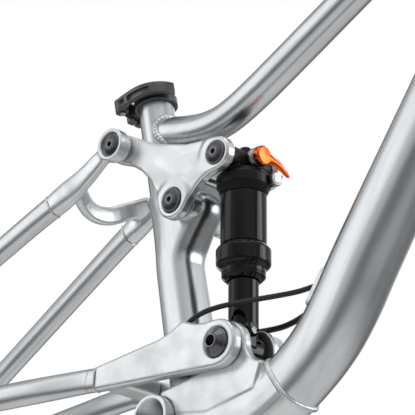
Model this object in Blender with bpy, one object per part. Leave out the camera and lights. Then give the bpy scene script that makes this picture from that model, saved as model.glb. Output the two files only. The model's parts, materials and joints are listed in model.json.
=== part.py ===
"""Full-suspension bicycle frame with its linkage, shock, seat clamp and cable jumpers.

Units are metres, +X is forward, +Y is the rider's left and +Z is up. The origin is the
centre of the bottom bracket. Every sub-part is one named object. A piece that moves is
parented to an empty that stands on its joint's axis.
"""

import bpy
import bmesh
from math import acos, atan2, ceil, cos, hypot, pi, radians, sin
from mathutils import Matrix, Vector

# ---------------------------------------------------------------- driving dimensions
GAP = 0.0003  # clearance between two pieces that touch
WALL = 0.0022  # wall of the drawn tubes
BEVEL = 0.0016  # broken edge of a forging
LATHE_TURN = radians(3.0)  # turns round pieces, so that none shares an edge with another

SEAT_ANGLE = radians(74.5)  # seat tube to the ground
SEAT_TOP = Vector((-0.0606, 0.0, 0.3280))  # centre of the seat tube's mouth
SEAT_TUBE_R = 0.01745
SEATPOST_BORE_R = 0.01545
SEAT_TUBE_FOOT = 0.0325  # height of the axis point where the tube stands on its forging

HEAD_TOP = Vector((0.4066, 0.0, 0.5642))
HEAD_LENGTH = 0.124
HEAD_ANGLE = radians(67.0)
HEAD_WAIST_R = 0.0245
HEAD_TOP_R = 0.0265
HEAD_FOOT_R = 0.0315
HEAD_TOP_BORE_R = 0.0219
HEAD_FOOT_BORE_R = 0.0278
HEAD_FLARE = 0.0160  # length of each flared end

BB_R = 0.0215
BB_BORE_R = 0.0173
BB_HALF_WIDTH = 0.0365

MAIN_PIVOT = Vector((0.0790, 0.0, 0.0610))
ROCKER_PIVOT = Vector((0.0103, 0.0, 0.2070))
STAY_PIVOT = Vector((-0.0625, 0.0, 0.2703))
SHOCK_TOP = Vector((0.0625, 0.0, 0.2455))
REAR_AXLE = Vector((-0.4430, 0.0, 0.0120))
STAY_FLEX = Vector((-0.4180, 0.0, 0.0420))  # where the seatstay meets the dropout

EAR_R = 0.0240
EAR_THICKNESS = 0.0100
EAR_INNER = 0.0153  # from the middle plane to an ear's inner face
EAR_OUTER = EAR_INNER + EAR_THICKNESS

ARM_BOSS_R = 0.0230
ARM_THICKNESS = 0.0125
ARM_INNER = EAR_OUTER + 2 * GAP
ARM_OUTER = ARM_INNER + ARM_THICKNESS
PIVOT_AXLE_R = 0.0075
BEARING_R = 0.0125

LINK_THICKNESS = 0.0115  # rocker side plate
LINK_INNER = 0.0285
LINK_OUTER = LINK_INNER + LINK_THICKNESS
LINK_REAR_R = 0.0145
LINK_MIDDLE_R = 0.0180
LINK_FRONT_R = 0.0165
ROCKER_HOUSING_R = 0.0150
ROCKER_HOUSING_HALF = 0.0245
ROCKER_AXLE_R = 0.0070

CAP_R = 0.01175
CAP_DOME = 0.0042
PIVOT_CAP_R = 0.0140

STAY_BOSS_R = 0.0160
STAY_BOSS_INNER = 0.0440
STAY_BOSS_WIDTH = 0.0120
STAY_BORE_R = 0.0100
STAY_PIN_R = 0.0070
BOLT_R = 0.0055
BOLT_BORE_R = 0.0080

SHAFT_R = 0.0143
CAN_R = 0.0218
CAN_BORE_R = 0.0190
HEAD_R = 0.0258
HEAD_HALF_WIDTH = 0.0263

AXLE_R = 0.0060
HUB_HALF = 0.0740  # half of the hub's width between the dropouts
DROPOUT_THICKNESS = 0.0090

HOUSING_R = 0.0025
HOSE_R = 0.0028

# ---------------------------------------------------------------- derived directions
SEAT_UP = Vector((-cos(SEAT_ANGLE), 0.0, sin(SEAT_ANGLE)))
SEAT_AHEAD = Vector((sin(SEAT_ANGLE), 0.0, cos(SEAT_ANGLE)))
HEAD_DOWN = Vector((cos(HEAD_ANGLE), 0.0, -sin(HEAD_ANGLE)))
SHOCK_UP = (SHOCK_TOP - MAIN_PIVOT).normalized()
SHOCK_AHEAD = Vector((SHOCK_UP.z, 0.0, -SHOCK_UP.x))
LEFT = Vector((0.0, 1.0, 0.0))
SIDES = (("right", -1), ("left", 1))

FINISHES = {
    "raw_tube": ((0.62, 0.64, 0.65), 0.28, 1.0),
    "forging": ((0.70, 0.71, 0.72), 0.38, 1.0),
    "black_alloy": ((0.03, 0.03, 0.035), 0.30, 0.9),
    "pivot_cap": ((0.05, 0.05, 0.06), 0.25, 1.0),
    "steel": ((0.55, 0.55, 0.56), 0.30, 1.0),
    "shock_black": ((0.015, 0.015, 0.017), 0.12, 0.6),
    "black_plastic": ((0.02, 0.02, 0.02), 0.45, 0.0),
    "orange_lever": ((0.90, 0.22, 0.02), 0.25, 0.6),
    "cable": ((0.02, 0.02, 0.022), 0.50, 0.0),
}

BODIES = {}


# ---------------------------------------------------------------- helpers
def clear_scene():
    for old in list(bpy.data.objects):
        bpy.data.objects.remove(old, do_unlink=True)


def material(key):
    found = bpy.data.materials.get(key)
    if found:
        return found
    colour, roughness, metallic = FINISHES[key]
    made = bpy.data.materials.new(key)
    made.use_nodes = True
    shader = made.node_tree.nodes["Principled BSDF"]
    shader.inputs["Base Color"].default_value = (*colour, 1.0)
    shader.inputs["Roughness"].default_value = roughness
    shader.inputs["Metallic"].default_value = metallic
    return made


def add_body(name, pivot):
    """An empty on the joint's axis, which carries the pieces that move together."""
    empty = bpy.data.objects.new(f"{name}_axis", None)
    empty.location = pivot
    bpy.context.scene.collection.objects.link(empty)
    BODIES[name] = empty


def make(name, bm, finish=None, body=None, bevel=None):
    """An object from a bmesh in world coordinates, parented to its body's empty."""
    bmesh.ops.remove_doubles(bm, verts=bm.verts, dist=1e-6)
    bmesh.ops.recalc_face_normals(bm, faces=bm.faces)
    mesh = bpy.data.meshes.new(name)
    made = bpy.data.objects.new(name, mesh)
    if body:
        made.parent = BODIES[body]
        bmesh.ops.translate(bm, verts=bm.verts, vec=-BODIES[body].location)
    bm.to_mesh(mesh)
    bm.free()
    bpy.context.scene.collection.objects.link(made)
    if finish:
        mesh.materials.append(material(finish))
        for face in mesh.polygons:
            face.use_smooth = True
        mesh.set_sharp_from_angle(angle=radians(32))
    if bevel:
        edge = made.modifiers.new("broken_edge", "BEVEL")
        edge.width = bevel
        edge.segments = 1
        edge.limit_method = "ANGLE"
        edge.angle_limit = radians(50)
    return made


def combine(target, tool, operation):
    """A Boolean on the target, with the tool kept as a hidden wire object."""
    if target.parent and not tool.parent:
        tool.location = -target.parent.location
    tool.parent = target.parent
    tool.hide_render = True
    tool.hide_viewport = True
    tool.display_type = "WIRE"
    step = target.modifiers.new(operation.lower(), "BOOLEAN")
    step.operation = operation
    step.solver = "EXACT"
    step.object = tool


def weld_cuts():
    """Joins the points that several Booleans leave on top of one another."""
    for cut_object in bpy.data.objects:
        if any(step.type == "BOOLEAN" for step in cut_object.modifiers):
            weld = cut_object.modifiers.new("weld", "WELD")
            weld.merge_threshold = 2e-6


def cut(target, *tools):
    for tool in tools:
        combine(target, tool, "DIFFERENCE")


def unite(target, *tools):
    for tool in tools:
        combine(target, tool, "UNION")


def round_steps(radius):
    return 16 if radius < 0.006 else 24 if radius < 0.016 else 32


def lathe(name, profile, centre, axis, finish=None, body=None, closed=False, steps=None):
    """Spin (radius, height) points about an axis; a closed profile makes a ring."""
    axis = Vector(axis).normalized()
    side = Matrix.Rotation(LATHE_TURN, 3, axis) @ axis.orthogonal().normalized()
    bm = bmesh.new()
    verts = [bm.verts.new(Vector(centre) + side * r + axis * h) for r, h in profile]
    edges = [bm.edges.new(pair) for pair in zip(verts, verts[1:])]
    if closed:
        edges.append(bm.edges.new((verts[-1], verts[0])))
    bmesh.ops.spin(
        bm, geom=verts + edges, cent=centre, axis=axis, angle=2 * pi, use_merge=True,
        steps=steps or round_steps(max(r for r, _ in profile)))
    return make(name, bm, finish, body)


def rod(name, start, end, radius, finish=None, body=None, steps=None):
    start, end = Vector(start), Vector(end)
    length = (end - start).length
    profile = [(0, 0), (radius, 0), (radius, length), (0, length)]
    return lathe(name, profile, start, end - start, finish, body, steps=steps)


def ring(name, start, end, outer, inner, finish=None, body=None):
    start, end = Vector(start), Vector(end)
    length = (end - start).length
    profile = [(inner, 0), (outer, 0), (outer, length), (inner, length)]
    return lathe(name, profile, start, end - start, finish, body, closed=True)


def cross_rod(name, centre, low, high, radius, finish=None, body=None):
    """A round bar along Y through a point, from y = low to y = high."""
    return rod(name, (centre.x, low, centre.z), (centre.x, high, centre.z), radius,
               finish, body)


def side_cutter(name, point, side, steps, body=None):
    """A round cutter of (radius, from y) steps that leaves the part on one side."""
    profile = [(0, steps[0][1])]
    for (radius, start), (_, end) in zip(steps, steps[1:] + [(0, 0.085)]):
        profile += [(radius, start), (radius, end)]
    profile.append((0, profile[-1][1]))
    return lathe(name, profile, point, LEFT * side, body=body)


def outline(circles, fillets, step=radians(24)):
    """A closed line round circles (x, z, r), taken anticlockwise.

    Between two circles it follows their common tangent, or, where a fillet radius is
    given, a hollow arc of that radius that touches both.
    """
    count = len(circles)
    arrive, leave, hollows = [None] * count, [None] * count, [None] * count
    for i, fillet in enumerate(fillets):
        ax, az, ar = circles[i]
        bx, bz, br = circles[(i + 1) % count]
        dx, dz = bx - ax, bz - az
        span = hypot(dx, dz)
        if fillet is None:
            turn = atan2(dz, dx) - acos((ar - br) / span)
            leave[i] = arrive[(i + 1) % count] = turn
            continue
        near, far = ar + fillet, br + fillet
        along = (near ** 2 - far ** 2 + span ** 2) / (2 * span)
        out = (near ** 2 - along ** 2) ** 0.5
        cx = ax + (dx * along + dz * out) / span
        cz = az + (dz * along - dx * out) / span
        leave[i] = atan2(cz - az, cx - ax)
        arrive[(i + 1) % count] = atan2(cz - bz, cx - bx)
        hollows[i] = (cx, cz, fillet, atan2(az - cz, ax - cx), atan2(bz - cz, bx - cx))
    points = []
    for i, (x, z, r) in enumerate(circles):
        if r > 0:
            sweep = (leave[i] - arrive[i]) % (2 * pi)
            turns = max(1, ceil(sweep / step))
            angles = [arrive[i] + sweep * k / turns for k in range(turns + 1)]
            points += [(x + r * cos(a), z + r * sin(a)) for a in angles]
        else:
            points.append((x, z))
        if hollows[i]:
            cx, cz, r, begin, end = hollows[i]
            sweep = (begin - end) % (2 * pi)
            turns = max(2, ceil(sweep / (step * 0.6)))
            angles = [begin - sweep * k / turns for k in range(1, turns)]
            points += [(cx + r * cos(a), cz + r * sin(a)) for a in angles]
    return points


def slab(name, points, origin, axes, low, high, finish=None, body=None, bevel=None):
    """Extrude a flat outline. Its plane is spanned by the first two of three axes."""
    u, v, w = axes
    bm = bmesh.new()
    base = [Vector(origin) + u * a + v * b + w * low for a, b in points]
    face = bm.faces.new([bm.verts.new(p) for p in base])
    grown = bmesh.ops.extrude_face_region(bm, geom=[face])
    moved = [item for item in grown["geom"] if isinstance(item, bmesh.types.BMVert)]
    bmesh.ops.translate(bm, verts=moved, vec=w * (high - low))
    return make(name, bm, finish, body, bevel)


def plate(name, points, low, high, finish=None, body=None, bevel=None):
    """Extrude an outline in the XZ plane from y = low to y = high."""
    axes = (Vector((1, 0, 0)), Vector((0, 0, 1)), LEFT)
    return slab(name, points, (0, 0, 0), axes, low, high, finish, body, bevel)


def box(name, centre, axes, sizes, finish=None, body=None, bevel=None):
    a, b, c = (size / 2 for size in sizes)
    points = [(-a, -b), (a, -b), (a, b), (-a, b)]
    return slab(name, points, centre, axes, -c, c, finish, body, bevel)


def side_plate(name, points, side, inner, outer, finish=None, body=None, bevel=None):
    low, high = sorted((side * inner, side * outer))
    return plate(name, points, low, high, finish, body, bevel)


def smooth_path(points, per_span):
    """A Catmull-Rom curve through 3-D points."""
    points = [Vector(p) for p in points]
    points = [2 * points[0] - points[1]] + points + [2 * points[-1] - points[-2]]
    path = []
    for a, b, c, d in zip(points, points[1:], points[2:], points[3:]):
        for k in range(per_span):
            t = k / per_span
            path.append(0.5 * (2 * b + (c - a) * t + (2 * a - 5 * b + 4 * c - d) * t * t
                               + (3 * b - 3 * c + d - a) * t ** 3))
    return path + [points[-2]]


def section(centre, up, side, half_up, half_side, power, count):
    """A superellipse |u/a|^n + |v/b|^n = 1 about a point, in the plane of two axes."""
    points = []
    for k in range(count):
        c, s = cos(2 * pi * k / count), sin(2 * pi * k / count)
        u = half_up * abs(c) ** (2 / power) * (1 if c >= 0 else -1)
        v = half_side * abs(s) ** (2 / power) * (1 if s >= 0 else -1)
        points.append(Vector(centre) + up * u + side * v)
    return points


def blend(stops, t):
    """The value at t of a line through (t, value) stops."""
    for (t0, v0), (t1, v1) in zip(stops, stops[1:]):
        if t <= t1:
            share = (t - t0) / (t1 - t0)
            ease = share * share * (3 - 2 * share)
            return v0 + (v1 - v0) * ease
    return stops[-1][1]


def path_sections(path, half_up, half_side, power, count, inset=0.0, across=LEFT,
                  ends=(None, None)):
    """Sections square to a path, with sizes that are (share of length, size) stops.

    The first and the last section may be square to a direction of their own.
    """
    own = {0: ends[0], len(path) - 1: ends[1]}
    lengths = [0.0]
    for a, b in zip(path, path[1:]):
        lengths.append(lengths[-1] + (b - a).length)
    rings = []
    for i, point in enumerate(path):
        ahead = own.get(i) or path[min(i + 1, len(path) - 1)] - path[max(i - 1, 0)]
        ahead = ahead.normalized()
        side = (across - ahead * ahead.dot(across)).normalized()
        up = ahead.cross(side)
        up *= 1 if up.z > 0 else -1
        t = lengths[i] / lengths[-1]
        rings.append(section(point, up, side, blend(half_up, t) - inset,
                             blend(half_side, t) - inset, blend(power, t), count))
    return rings


def skin(name, rings, inner=None, finish=None, body=None):
    """A solid through rings of points, or a tube where inner rings are given."""
    bm = bmesh.new()

    def wall(loops):
        made = [[bm.verts.new(p) for p in loop] for loop in loops]
        for low, high in zip(made, made[1:]):
            for k in range(len(low)):
                n = (k + 1) % len(low)
                bm.faces.new((low[k], low[n], high[n], high[k]))
        return made

    outer = wall(rings)
    if inner is None:
        bm.faces.new(outer[0])
        bm.faces.new(outer[-1])
    else:
        core = wall(inner)
        for a, b in ((outer[0], core[0]), (outer[-1], core[-1])):
            for k in range(len(a)):
                n = (k + 1) % len(a)
                bm.faces.new((a[k], a[n], b[n], b[k]))
    return make(name, bm, finish, body)


def every_other(rings):
    """Half of the rings, with the first and the last kept."""
    return rings[:-1:2] + rings[-1:]


def tube(name, path, half_up, half_side, power, finish, body=None, count=20, wall=WALL,
         ends=(None, None)):
    outer = path_sections(path, half_up, half_side, power, count, ends=ends)
    inner = path_sections(path, half_up, half_side, power, count, wall, ends=ends)
    return skin(name, outer, every_other(inner), finish, body)


def seat_axis(level):
    """The point of the seat tube's axis at a height."""
    return SEAT_TOP + SEAT_UP * ((level - SEAT_TOP.z) / SEAT_UP.z)


def on_shock(distance, ahead=0.0, left=0.0):
    """A point at a distance up the shock's axis from the main pivot."""
    return MAIN_PIVOT + SHOCK_UP * distance + SHOCK_AHEAD * ahead + LEFT * left


def circle(point, radius):
    return (point.x, point.z, radius)


# ---------------------------------------------------------------- front triangle
# Height on the axis, reach ahead of the axis, half width: a round tube at the top, and
# below it a drawn lobe that carries the rocker pivot and narrows to a knee.
SEAT_TUBE_SHAPE = [
    (SEAT_TUBE_FOOT, 0.0235, 0.0205), (0.0920, 0.0235, 0.0205), (0.1410, 0.0233, 0.0203),
    (0.1520, 0.0236, 0.0203), (0.1600, 0.0268, 0.0203), (0.1710, 0.0366, 0.0205),
    (0.1860, 0.0505, 0.0205), (0.1940, 0.0545, 0.0205), (0.2010, 0.0550, 0.0205),
    (0.2080, 0.0520, 0.0200), (0.2140, 0.0445, 0.0195), (0.2185, 0.0360, 0.0190),
    (0.2230, 0.0270, 0.0183), (0.2280, 0.0205, 0.0177), (0.2340, SEAT_TUBE_R, SEAT_TUBE_R),
    (SEAT_TOP.z, SEAT_TUBE_R, SEAT_TUBE_R),
]
BORE_FLOOR = 0.0600  # height where the seatpost's bore ends
BORE_STEPS = 48  # fine, so that a seatpost slides in
SLOT_WIDTH = 0.0030
SLOT_DEPTH = 0.0240


def seat_tube():
    rings = []
    for level, reach, half_width in SEAT_TUBE_SHAPE:
        middle = seat_axis(level) + SEAT_AHEAD * ((reach - SEAT_TUBE_R) / 2)
        lobe = min(1.0, (reach - SEAT_TUBE_R) / 0.03)
        rings.append(section(middle, SEAT_AHEAD, LEFT, (reach + SEAT_TUBE_R) / 2,
                             half_width, 2.0 + 0.5 * lobe, 32))
    made = skin("seat_tube", rings, finish="raw_tube")
    top = SEAT_TOP + SEAT_UP * 0.01
    cut(made,
        rod("seat_bore_cutter", seat_axis(BORE_FLOOR), top, SEATPOST_BORE_R,
            steps=BORE_STEPS),
        cross_rod("rocker_housing_cutter", ROCKER_PIVOT, -0.03, 0.03,
                  ROCKER_HOUSING_R + GAP),
        box("clamp_slot_cutter", SEAT_TOP - SEAT_AHEAD * SEAT_TUBE_R,
            (LEFT, SEAT_UP, SEAT_AHEAD), (SLOT_WIDTH, 2 * SLOT_DEPTH, 0.012)))


def rocker_housing():
    housing = ring("rocker_pivot_housing",
                   (ROCKER_PIVOT.x, -ROCKER_HOUSING_HALF, ROCKER_PIVOT.z),
                   (ROCKER_PIVOT.x, ROCKER_HOUSING_HALF, ROCKER_PIVOT.z),
                   ROCKER_HOUSING_R, ROCKER_AXLE_R + GAP, "forging")
    return housing


def head_profile(grow=0.0):
    """Outside of the head tube from its top to its foot, as (radius, distance)."""
    return [(HEAD_TOP_R + grow, 0), (HEAD_TOP_R + grow, HEAD_FLARE * 0.5),
            (HEAD_WAIST_R + grow, HEAD_FLARE),
            (HEAD_WAIST_R + grow, HEAD_LENGTH - 2 * HEAD_FLARE),
            (HEAD_FOOT_R + grow, HEAD_LENGTH - HEAD_FLARE),
            (HEAD_FOOT_R + grow, HEAD_LENGTH)]


def head_tube():
    outer = head_profile()
    inner = [(HEAD_FOOT_BORE_R, HEAD_LENGTH), (HEAD_FOOT_BORE_R, HEAD_LENGTH - HEAD_FLARE),
             (HEAD_TOP_BORE_R, HEAD_LENGTH - 2 * HEAD_FLARE), (HEAD_TOP_BORE_R, 0)]
    lathe("head_tube", outer + inner, HEAD_TOP, HEAD_DOWN, "raw_tube", closed=True)


def head_cutter(name):
    profile = [(0, 0)] + head_profile(GAP) + [(0, HEAD_LENGTH)]
    return lathe(name, profile, HEAD_TOP, HEAD_DOWN)


TOP_TUBE_HEAD_DROP = 0.0210  # from the head tube's top down to the top tube's line
TOP_TUBE_BEND = [(-0.0320, 0.2915), (-0.0100, 0.2895), (0.0120, 0.2895), (0.0325, 0.2935),
                 (0.0530, 0.3025), (0.0750, 0.3155), (0.0960, 0.3290)]


def top_tube():
    start = seat_axis(0.2935)
    end = HEAD_TOP + HEAD_DOWN * (TOP_TUBE_HEAD_DROP / sin(HEAD_ANGLE))
    bend = [(x, 0, z) for x, z in TOP_TUBE_BEND]
    last = Vector(bend[-1])
    run = [last.lerp(end, share) for share in (0.35, 0.7, 1.0)]
    path = smooth_path([start] + bend + run, 2)
    made = tube("top_tube", path, [(0, 0.0168), (0.2, 0.0145), (0.7, 0.0148), (1, 0.0180)],
                [(0, 0.0155), (0.25, 0.0155), (0.7, 0.0158), (1, 0.0180)],
                [(0, 2.1), (0.3, 2.5), (1, 2.3)], "raw_tube")
    cut(made,
        rod("top_tube_seat_cutter", seat_axis(0.24), SEAT_TOP + SEAT_UP * 0.02,
            SEAT_TUBE_R + GAP),
        head_cutter("top_tube_head_cutter"))


NECK_END = Vector((0.1410, 0.0, 0.0220))  # where the down tube meets the forging
NECK_DIRECTION = Vector((0.788, 0.0, 0.616))
DOWN_TUBE_BEND = [(0.1560, 0.0342), (0.1715, 0.0490), (0.1870, 0.0680), (0.2030, 0.0945),
                  (0.2250, 0.1370)]
DOWN_TUBE_HEAD_DROP = 0.0557
DOWN_TUBE_HALF = [(0, 0.0290), (0.2, 0.0300), (0.7, 0.0290), (1, 0.0245)]
DOWN_TUBE_SIDE = [(0, 0.0250), (0.2, 0.0275), (0.7, 0.0260), (1, 0.0218)]
DOWN_TUBE_POWER = [(0, 2.8), (0.6, 2.6), (1, 2.2)]


def down_tube_path():
    start = NECK_END + NECK_DIRECTION * GAP
    bend = [(x, 0, z) for x, z in DOWN_TUBE_BEND]
    end = HEAD_TOP + HEAD_DOWN * (DOWN_TUBE_HEAD_DROP / sin(HEAD_ANGLE))
    run = [Vector(bend[-1]).lerp(end, share) for share in (0.3, 0.65, 1.0)]
    return smooth_path([start, start + NECK_DIRECTION * 0.006] + bend + run, 2)


def down_tube():
    made = tube("down_tube", down_tube_path(), DOWN_TUBE_HALF, DOWN_TUBE_SIDE,
                DOWN_TUBE_POWER, "raw_tube", count=24, ends=(NECK_DIRECTION, None))
    cut(made, head_cutter("down_tube_head_cutter"))


def down_tube_envelope(name):
    rings = path_sections(down_tube_path(), DOWN_TUBE_HALF, DOWN_TUBE_SIDE,
                          DOWN_TUBE_POWER, 24, -GAP, ends=(NECK_DIRECTION, None))
    return skin(name, rings)


def bottom_bracket_shell():
    ring("bottom_bracket_shell", (0, -BB_HALF_WIDTH, 0), (0, BB_HALF_WIDTH, 0), BB_R,
         BB_BORE_R, "raw_tube")


def pivot_forging():
    """The forging that joins bottom bracket, seat tube foot, shock ears and down tube."""
    neck_path = smooth_path([(0.008, 0, -0.0020), (0.055, 0, -0.0040), (0.100, 0, -0.0010),
                             NECK_END - NECK_DIRECTION * 0.016, NECK_END], 4)
    rings = path_sections(neck_path, [(0, 0.0245), (0.5, 0.0265), (1, 0.0290)],
                          [(0, 0.0250), (1, 0.0250)], [(0, 4.0), (1, 2.8)], 24,
                          ends=(None, NECK_DIRECTION))
    made = skin("main_pivot_forging", rings, finish="forging")
    foot = seat_axis(SEAT_TUBE_FOOT) - SEAT_UP * GAP
    rear, front = foot - SEAT_AHEAD * 0.0225, foot + SEAT_AHEAD * 0.0255
    ears = outline(
        [(rear.x, rear.z, 0), (0.004, 0.004, 0), (0.060, 0.0, 0), (0.118, 0.016, 0),
         (0.1225, 0.0405, 0.002), circle(MAIN_PIVOT, EAR_R), (front.x, front.z, 0)],
        [None, None, None, None, 0.022, None, None], radians(18))
    unite(made, plate("ears", ears, -EAR_OUTER, EAR_OUTER, bevel=BEVEL))
    slot = outline(
        [(MAIN_PIVOT.x - 0.0205, 0.110, 0), circle(MAIN_PIVOT, 0.0205),
         (0.150, 0.060, 0), (0.150, 0.110, 0)], [None, None, None, None], radians(18))
    cut(made,
        plate("ear_slot_cutter", slot, -EAR_INNER, EAR_INNER),
        cross_rod("bottom_bracket_cutter", Vector((0, 0, 0)), -0.04, 0.04, BB_R + GAP),
        cross_rod("ear_bore_cutter", MAIN_PIVOT, -0.04, 0.04, PIVOT_AXLE_R + GAP))


PORT_LENGTH = 0.040
PORT_WIDTH = 0.0120
PORT_HEIGHT = 0.0040
PORT_SETBACK = 0.0135  # from the middle plane to a cable port
PORT_CENTRE = (0.1790, 0.1050)


def cable_ports():
    """Raised covers on the down tube where a cable goes in, one on each side."""
    along = Vector((sin(radians(29)), 0, cos(radians(29))))
    out = Vector((-along.z, 0, along.x))
    half, r = PORT_LENGTH / 2, PORT_WIDTH / 2
    lozenge = outline([(-half + r, 0, r), (half - r, 0, r)], [None, None])
    for side_name, side in SIDES:
        centre = Vector((PORT_CENTRE[0], side * PORT_SETBACK, PORT_CENTRE[1]))
        made = slab(f"cable_port_{side_name}", lozenge, centre, (along, LEFT, out),
                    -0.012, PORT_HEIGHT, "forging", bevel=0.001)
        cut(made, down_tube_envelope(f"port_{side_name}_envelope"))
        bore = HOUSING_R if side < 0 else HOSE_R
        path = CABLE_ROUTES[side_name]
        last, before = Vector(path[-1]), Vector(path[-2])
        cut(made, rod(f"port_{side_name}_bore", before, last + (last - before) * 0.3,
                      bore + 2 * GAP))


# Routes from the port in the swingarm to the port in the down tube.
CABLE_ROUTES = {
    "right": [(0.0340, -0.0322, 0.0835), (0.0430, -0.0318, 0.0895),
              (0.0540, -0.0300, 0.0945), (0.0680, -0.0272, 0.0980),
              (0.0850, -0.0250, 0.0998), (0.1020, -0.0245, 0.1003),
              (0.1200, -0.0240, 0.1003), (0.1400, -0.0220, 0.1010),
              (0.1580, -0.0180, 0.1030), (0.1740, -0.0138, 0.1070)],
    "left": [(0.0340, 0.0322, 0.0835), (0.0430, 0.0318, 0.0868),
             (0.0560, 0.0300, 0.0880), (0.0730, 0.0275, 0.0875),
             (0.0900, 0.0250, 0.0868), (0.1070, 0.0220, 0.0868),
             (0.1250, 0.0190, 0.0895), (0.1420, 0.0160, 0.0943),
             (0.1590, 0.0140, 0.0995), (0.1740, 0.0136, 0.1045)],
}


def cable(name, route, radius):
    """A bendy line: a poly curve with a round bevel and filled caps."""
    curve = bpy.data.curves.new(name, "CURVE")
    curve.dimensions = "3D"
    curve.bevel_depth = radius
    curve.bevel_resolution = 2
    curve.use_fill_caps = True
    points = smooth_path(route, 3)
    spline = curve.splines.new("POLY")
    spline.points.add(len(points) - 1)
    for slot, point in zip(spline.points, points):
        slot.co = (*point, 1.0)
    made = bpy.data.objects.new(name, curve)
    curve.materials.append(material("cable"))
    bpy.context.scene.collection.objects.link(made)


def cables():
    cable("shift_housing", CABLE_ROUTES["right"], HOUSING_R)
    cable("brake_hose", CABLE_ROUTES["left"], HOSE_R)


# ---------------------------------------------------------------- pivots
def socket_cutter(name, mouth, side, across, depth):
    """A six-sided prism that cuts a key's socket into a cap."""
    corners = [(cos(pi * k / 3) * across / 1.732, sin(pi * k / 3) * across / 1.732)
               for k in range(6)]
    axes = (Vector((1, 0, 0)), Vector((0, 0, 1)), Vector((0, side, 0)))
    return slab(name, corners, mouth, axes, -depth, 0.001)


def cap_pair(name, point, start, radius, dome, across, finish, body=None):
    """A domed cap with a six-sided socket on each side, facing outwards."""
    rim = across * 0.78
    profile = [(0, 0), (radius, 0), (radius, dome * 0.45), (radius * 0.86, dome * 0.82),
               (rim, dome), (0, dome)]
    for side_name, side in SIDES:
        label = f"{name}_{side_name}"
        made = lathe(label, profile, (point.x, side * start, point.z), (0, side, 0), finish,
                     body)
        mouth = Vector((point.x, side * (start + dome), point.z))
        cut(made, socket_cutter(f"{label}_socket", mouth, side, across, dome * 0.6))


def rod_pair(name, point, inner, outer, radius, finish, body=None):
    for side_name, side in SIDES:
        cross_rod(f"{name}_{side_name}", point, *sorted((side * inner, side * outer)),
                  radius, finish, body)


def ring_pair(name, point, inner, outer, outside, bore, finish, body=None):
    for side_name, side in SIDES:
        low, high = sorted((side * inner, side * outer))
        ring(f"{name}_{side_name}", (point.x, low, point.z), (point.x, high, point.z),
             outside, bore, finish, body)


def pivot_hardware():
    cross_rod("main_pivot_axle", MAIN_PIVOT, -(ARM_OUTER - 0.0030), ARM_OUTER - 0.0030,
              PIVOT_AXLE_R, "steel")
    bearing_end = ARM_OUTER - 0.0045
    ring_pair("main_pivot_bearing", MAIN_PIVOT, ARM_INNER + 0.0008, bearing_end, BEARING_R,
              PIVOT_AXLE_R + GAP, "steel", "rear_triangle")
    cap_pair("main_pivot_cap", MAIN_PIVOT, ARM_OUTER - 0.0030 + GAP, PIVOT_CAP_R, 0.0100,
             0.0100, "pivot_cap")
    cross_rod("rocker_axle", ROCKER_PIVOT, -(LINK_OUTER - 0.0010), LINK_OUTER - 0.0010,
              ROCKER_AXLE_R, "steel")
    ring_pair("rocker_bearing", ROCKER_PIVOT, ROCKER_HOUSING_HALF + 0.0040,
              LINK_OUTER - 0.0010, CAP_R, ROCKER_AXLE_R + GAP, "steel", "rocker")
    cap_pair("rocker_pivot_cap", ROCKER_PIVOT, LINK_OUTER - 0.0010 + GAP, CAP_R, CAP_DOME,
             0.0050, "pivot_cap", "rocker")
    cap_pair("shock_bolt_cap", SHOCK_TOP, LINK_OUTER - 0.0010 + GAP, CAP_R, CAP_DOME,
             0.0050, "pivot_cap", "rocker")
    rod_pair("shock_top_bolt", SHOCK_TOP, HEAD_HALF_WIDTH - 0.0080, LINK_OUTER - 0.0013,
             BOLT_R, "steel", "shock_can")
    stay_outer = STAY_BOSS_INNER + STAY_BOSS_WIDTH
    rod_pair("seatstay_pin", STAY_PIVOT, LINK_INNER + 0.0010, stay_outer - 0.0045,
             STAY_PIN_R, "steel", "rocker")
    cap_pair("seatstay_pivot_cap", STAY_PIVOT, stay_outer - 0.0042 + GAP, CAP_R, CAP_DOME,
             0.0050, "pivot_cap", "seatstays")


# ---------------------------------------------------------------- rear triangle
ARM_END_X = -0.0750
ARM_END_HALF = 0.0115
ARM_END_Z = 0.0450
YOKE_FRONT = -0.0480
STAY_END_HALF = 0.0100
CHAINSTAY_FRONT = (-0.4050, 0.0150)  # x and height of its butt on the dropout
CHAINSTAY_HALF = [(0, ARM_END_HALF), (0.3, 0.0125), (1, STAY_END_HALF)]
CHAINSTAY_SIDE = [(0, 0.0062), (0.25, 0.0085), (0.8, 0.0080), (1, 0.0045)]
STAY_POWER = [(0, 3.0), (0.3, 2.3), (1, 2.5)]
DROPOUT_MIDDLE = HUB_HALF + DROPOUT_THICKNESS / 2


def arm_outline():
    x, half = ARM_END_X, ARM_END_HALF
    return outline(
        [(x, ARM_END_Z + half, 0), (x, ARM_END_Z - half, 0), circle(MAIN_PIVOT, ARM_BOSS_R),
         (0.0350, 0.0800, 0.0070), (-0.0100, 0.0600, 0.0100)],
        [None, None, 0.060, 0.090, None])


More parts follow.
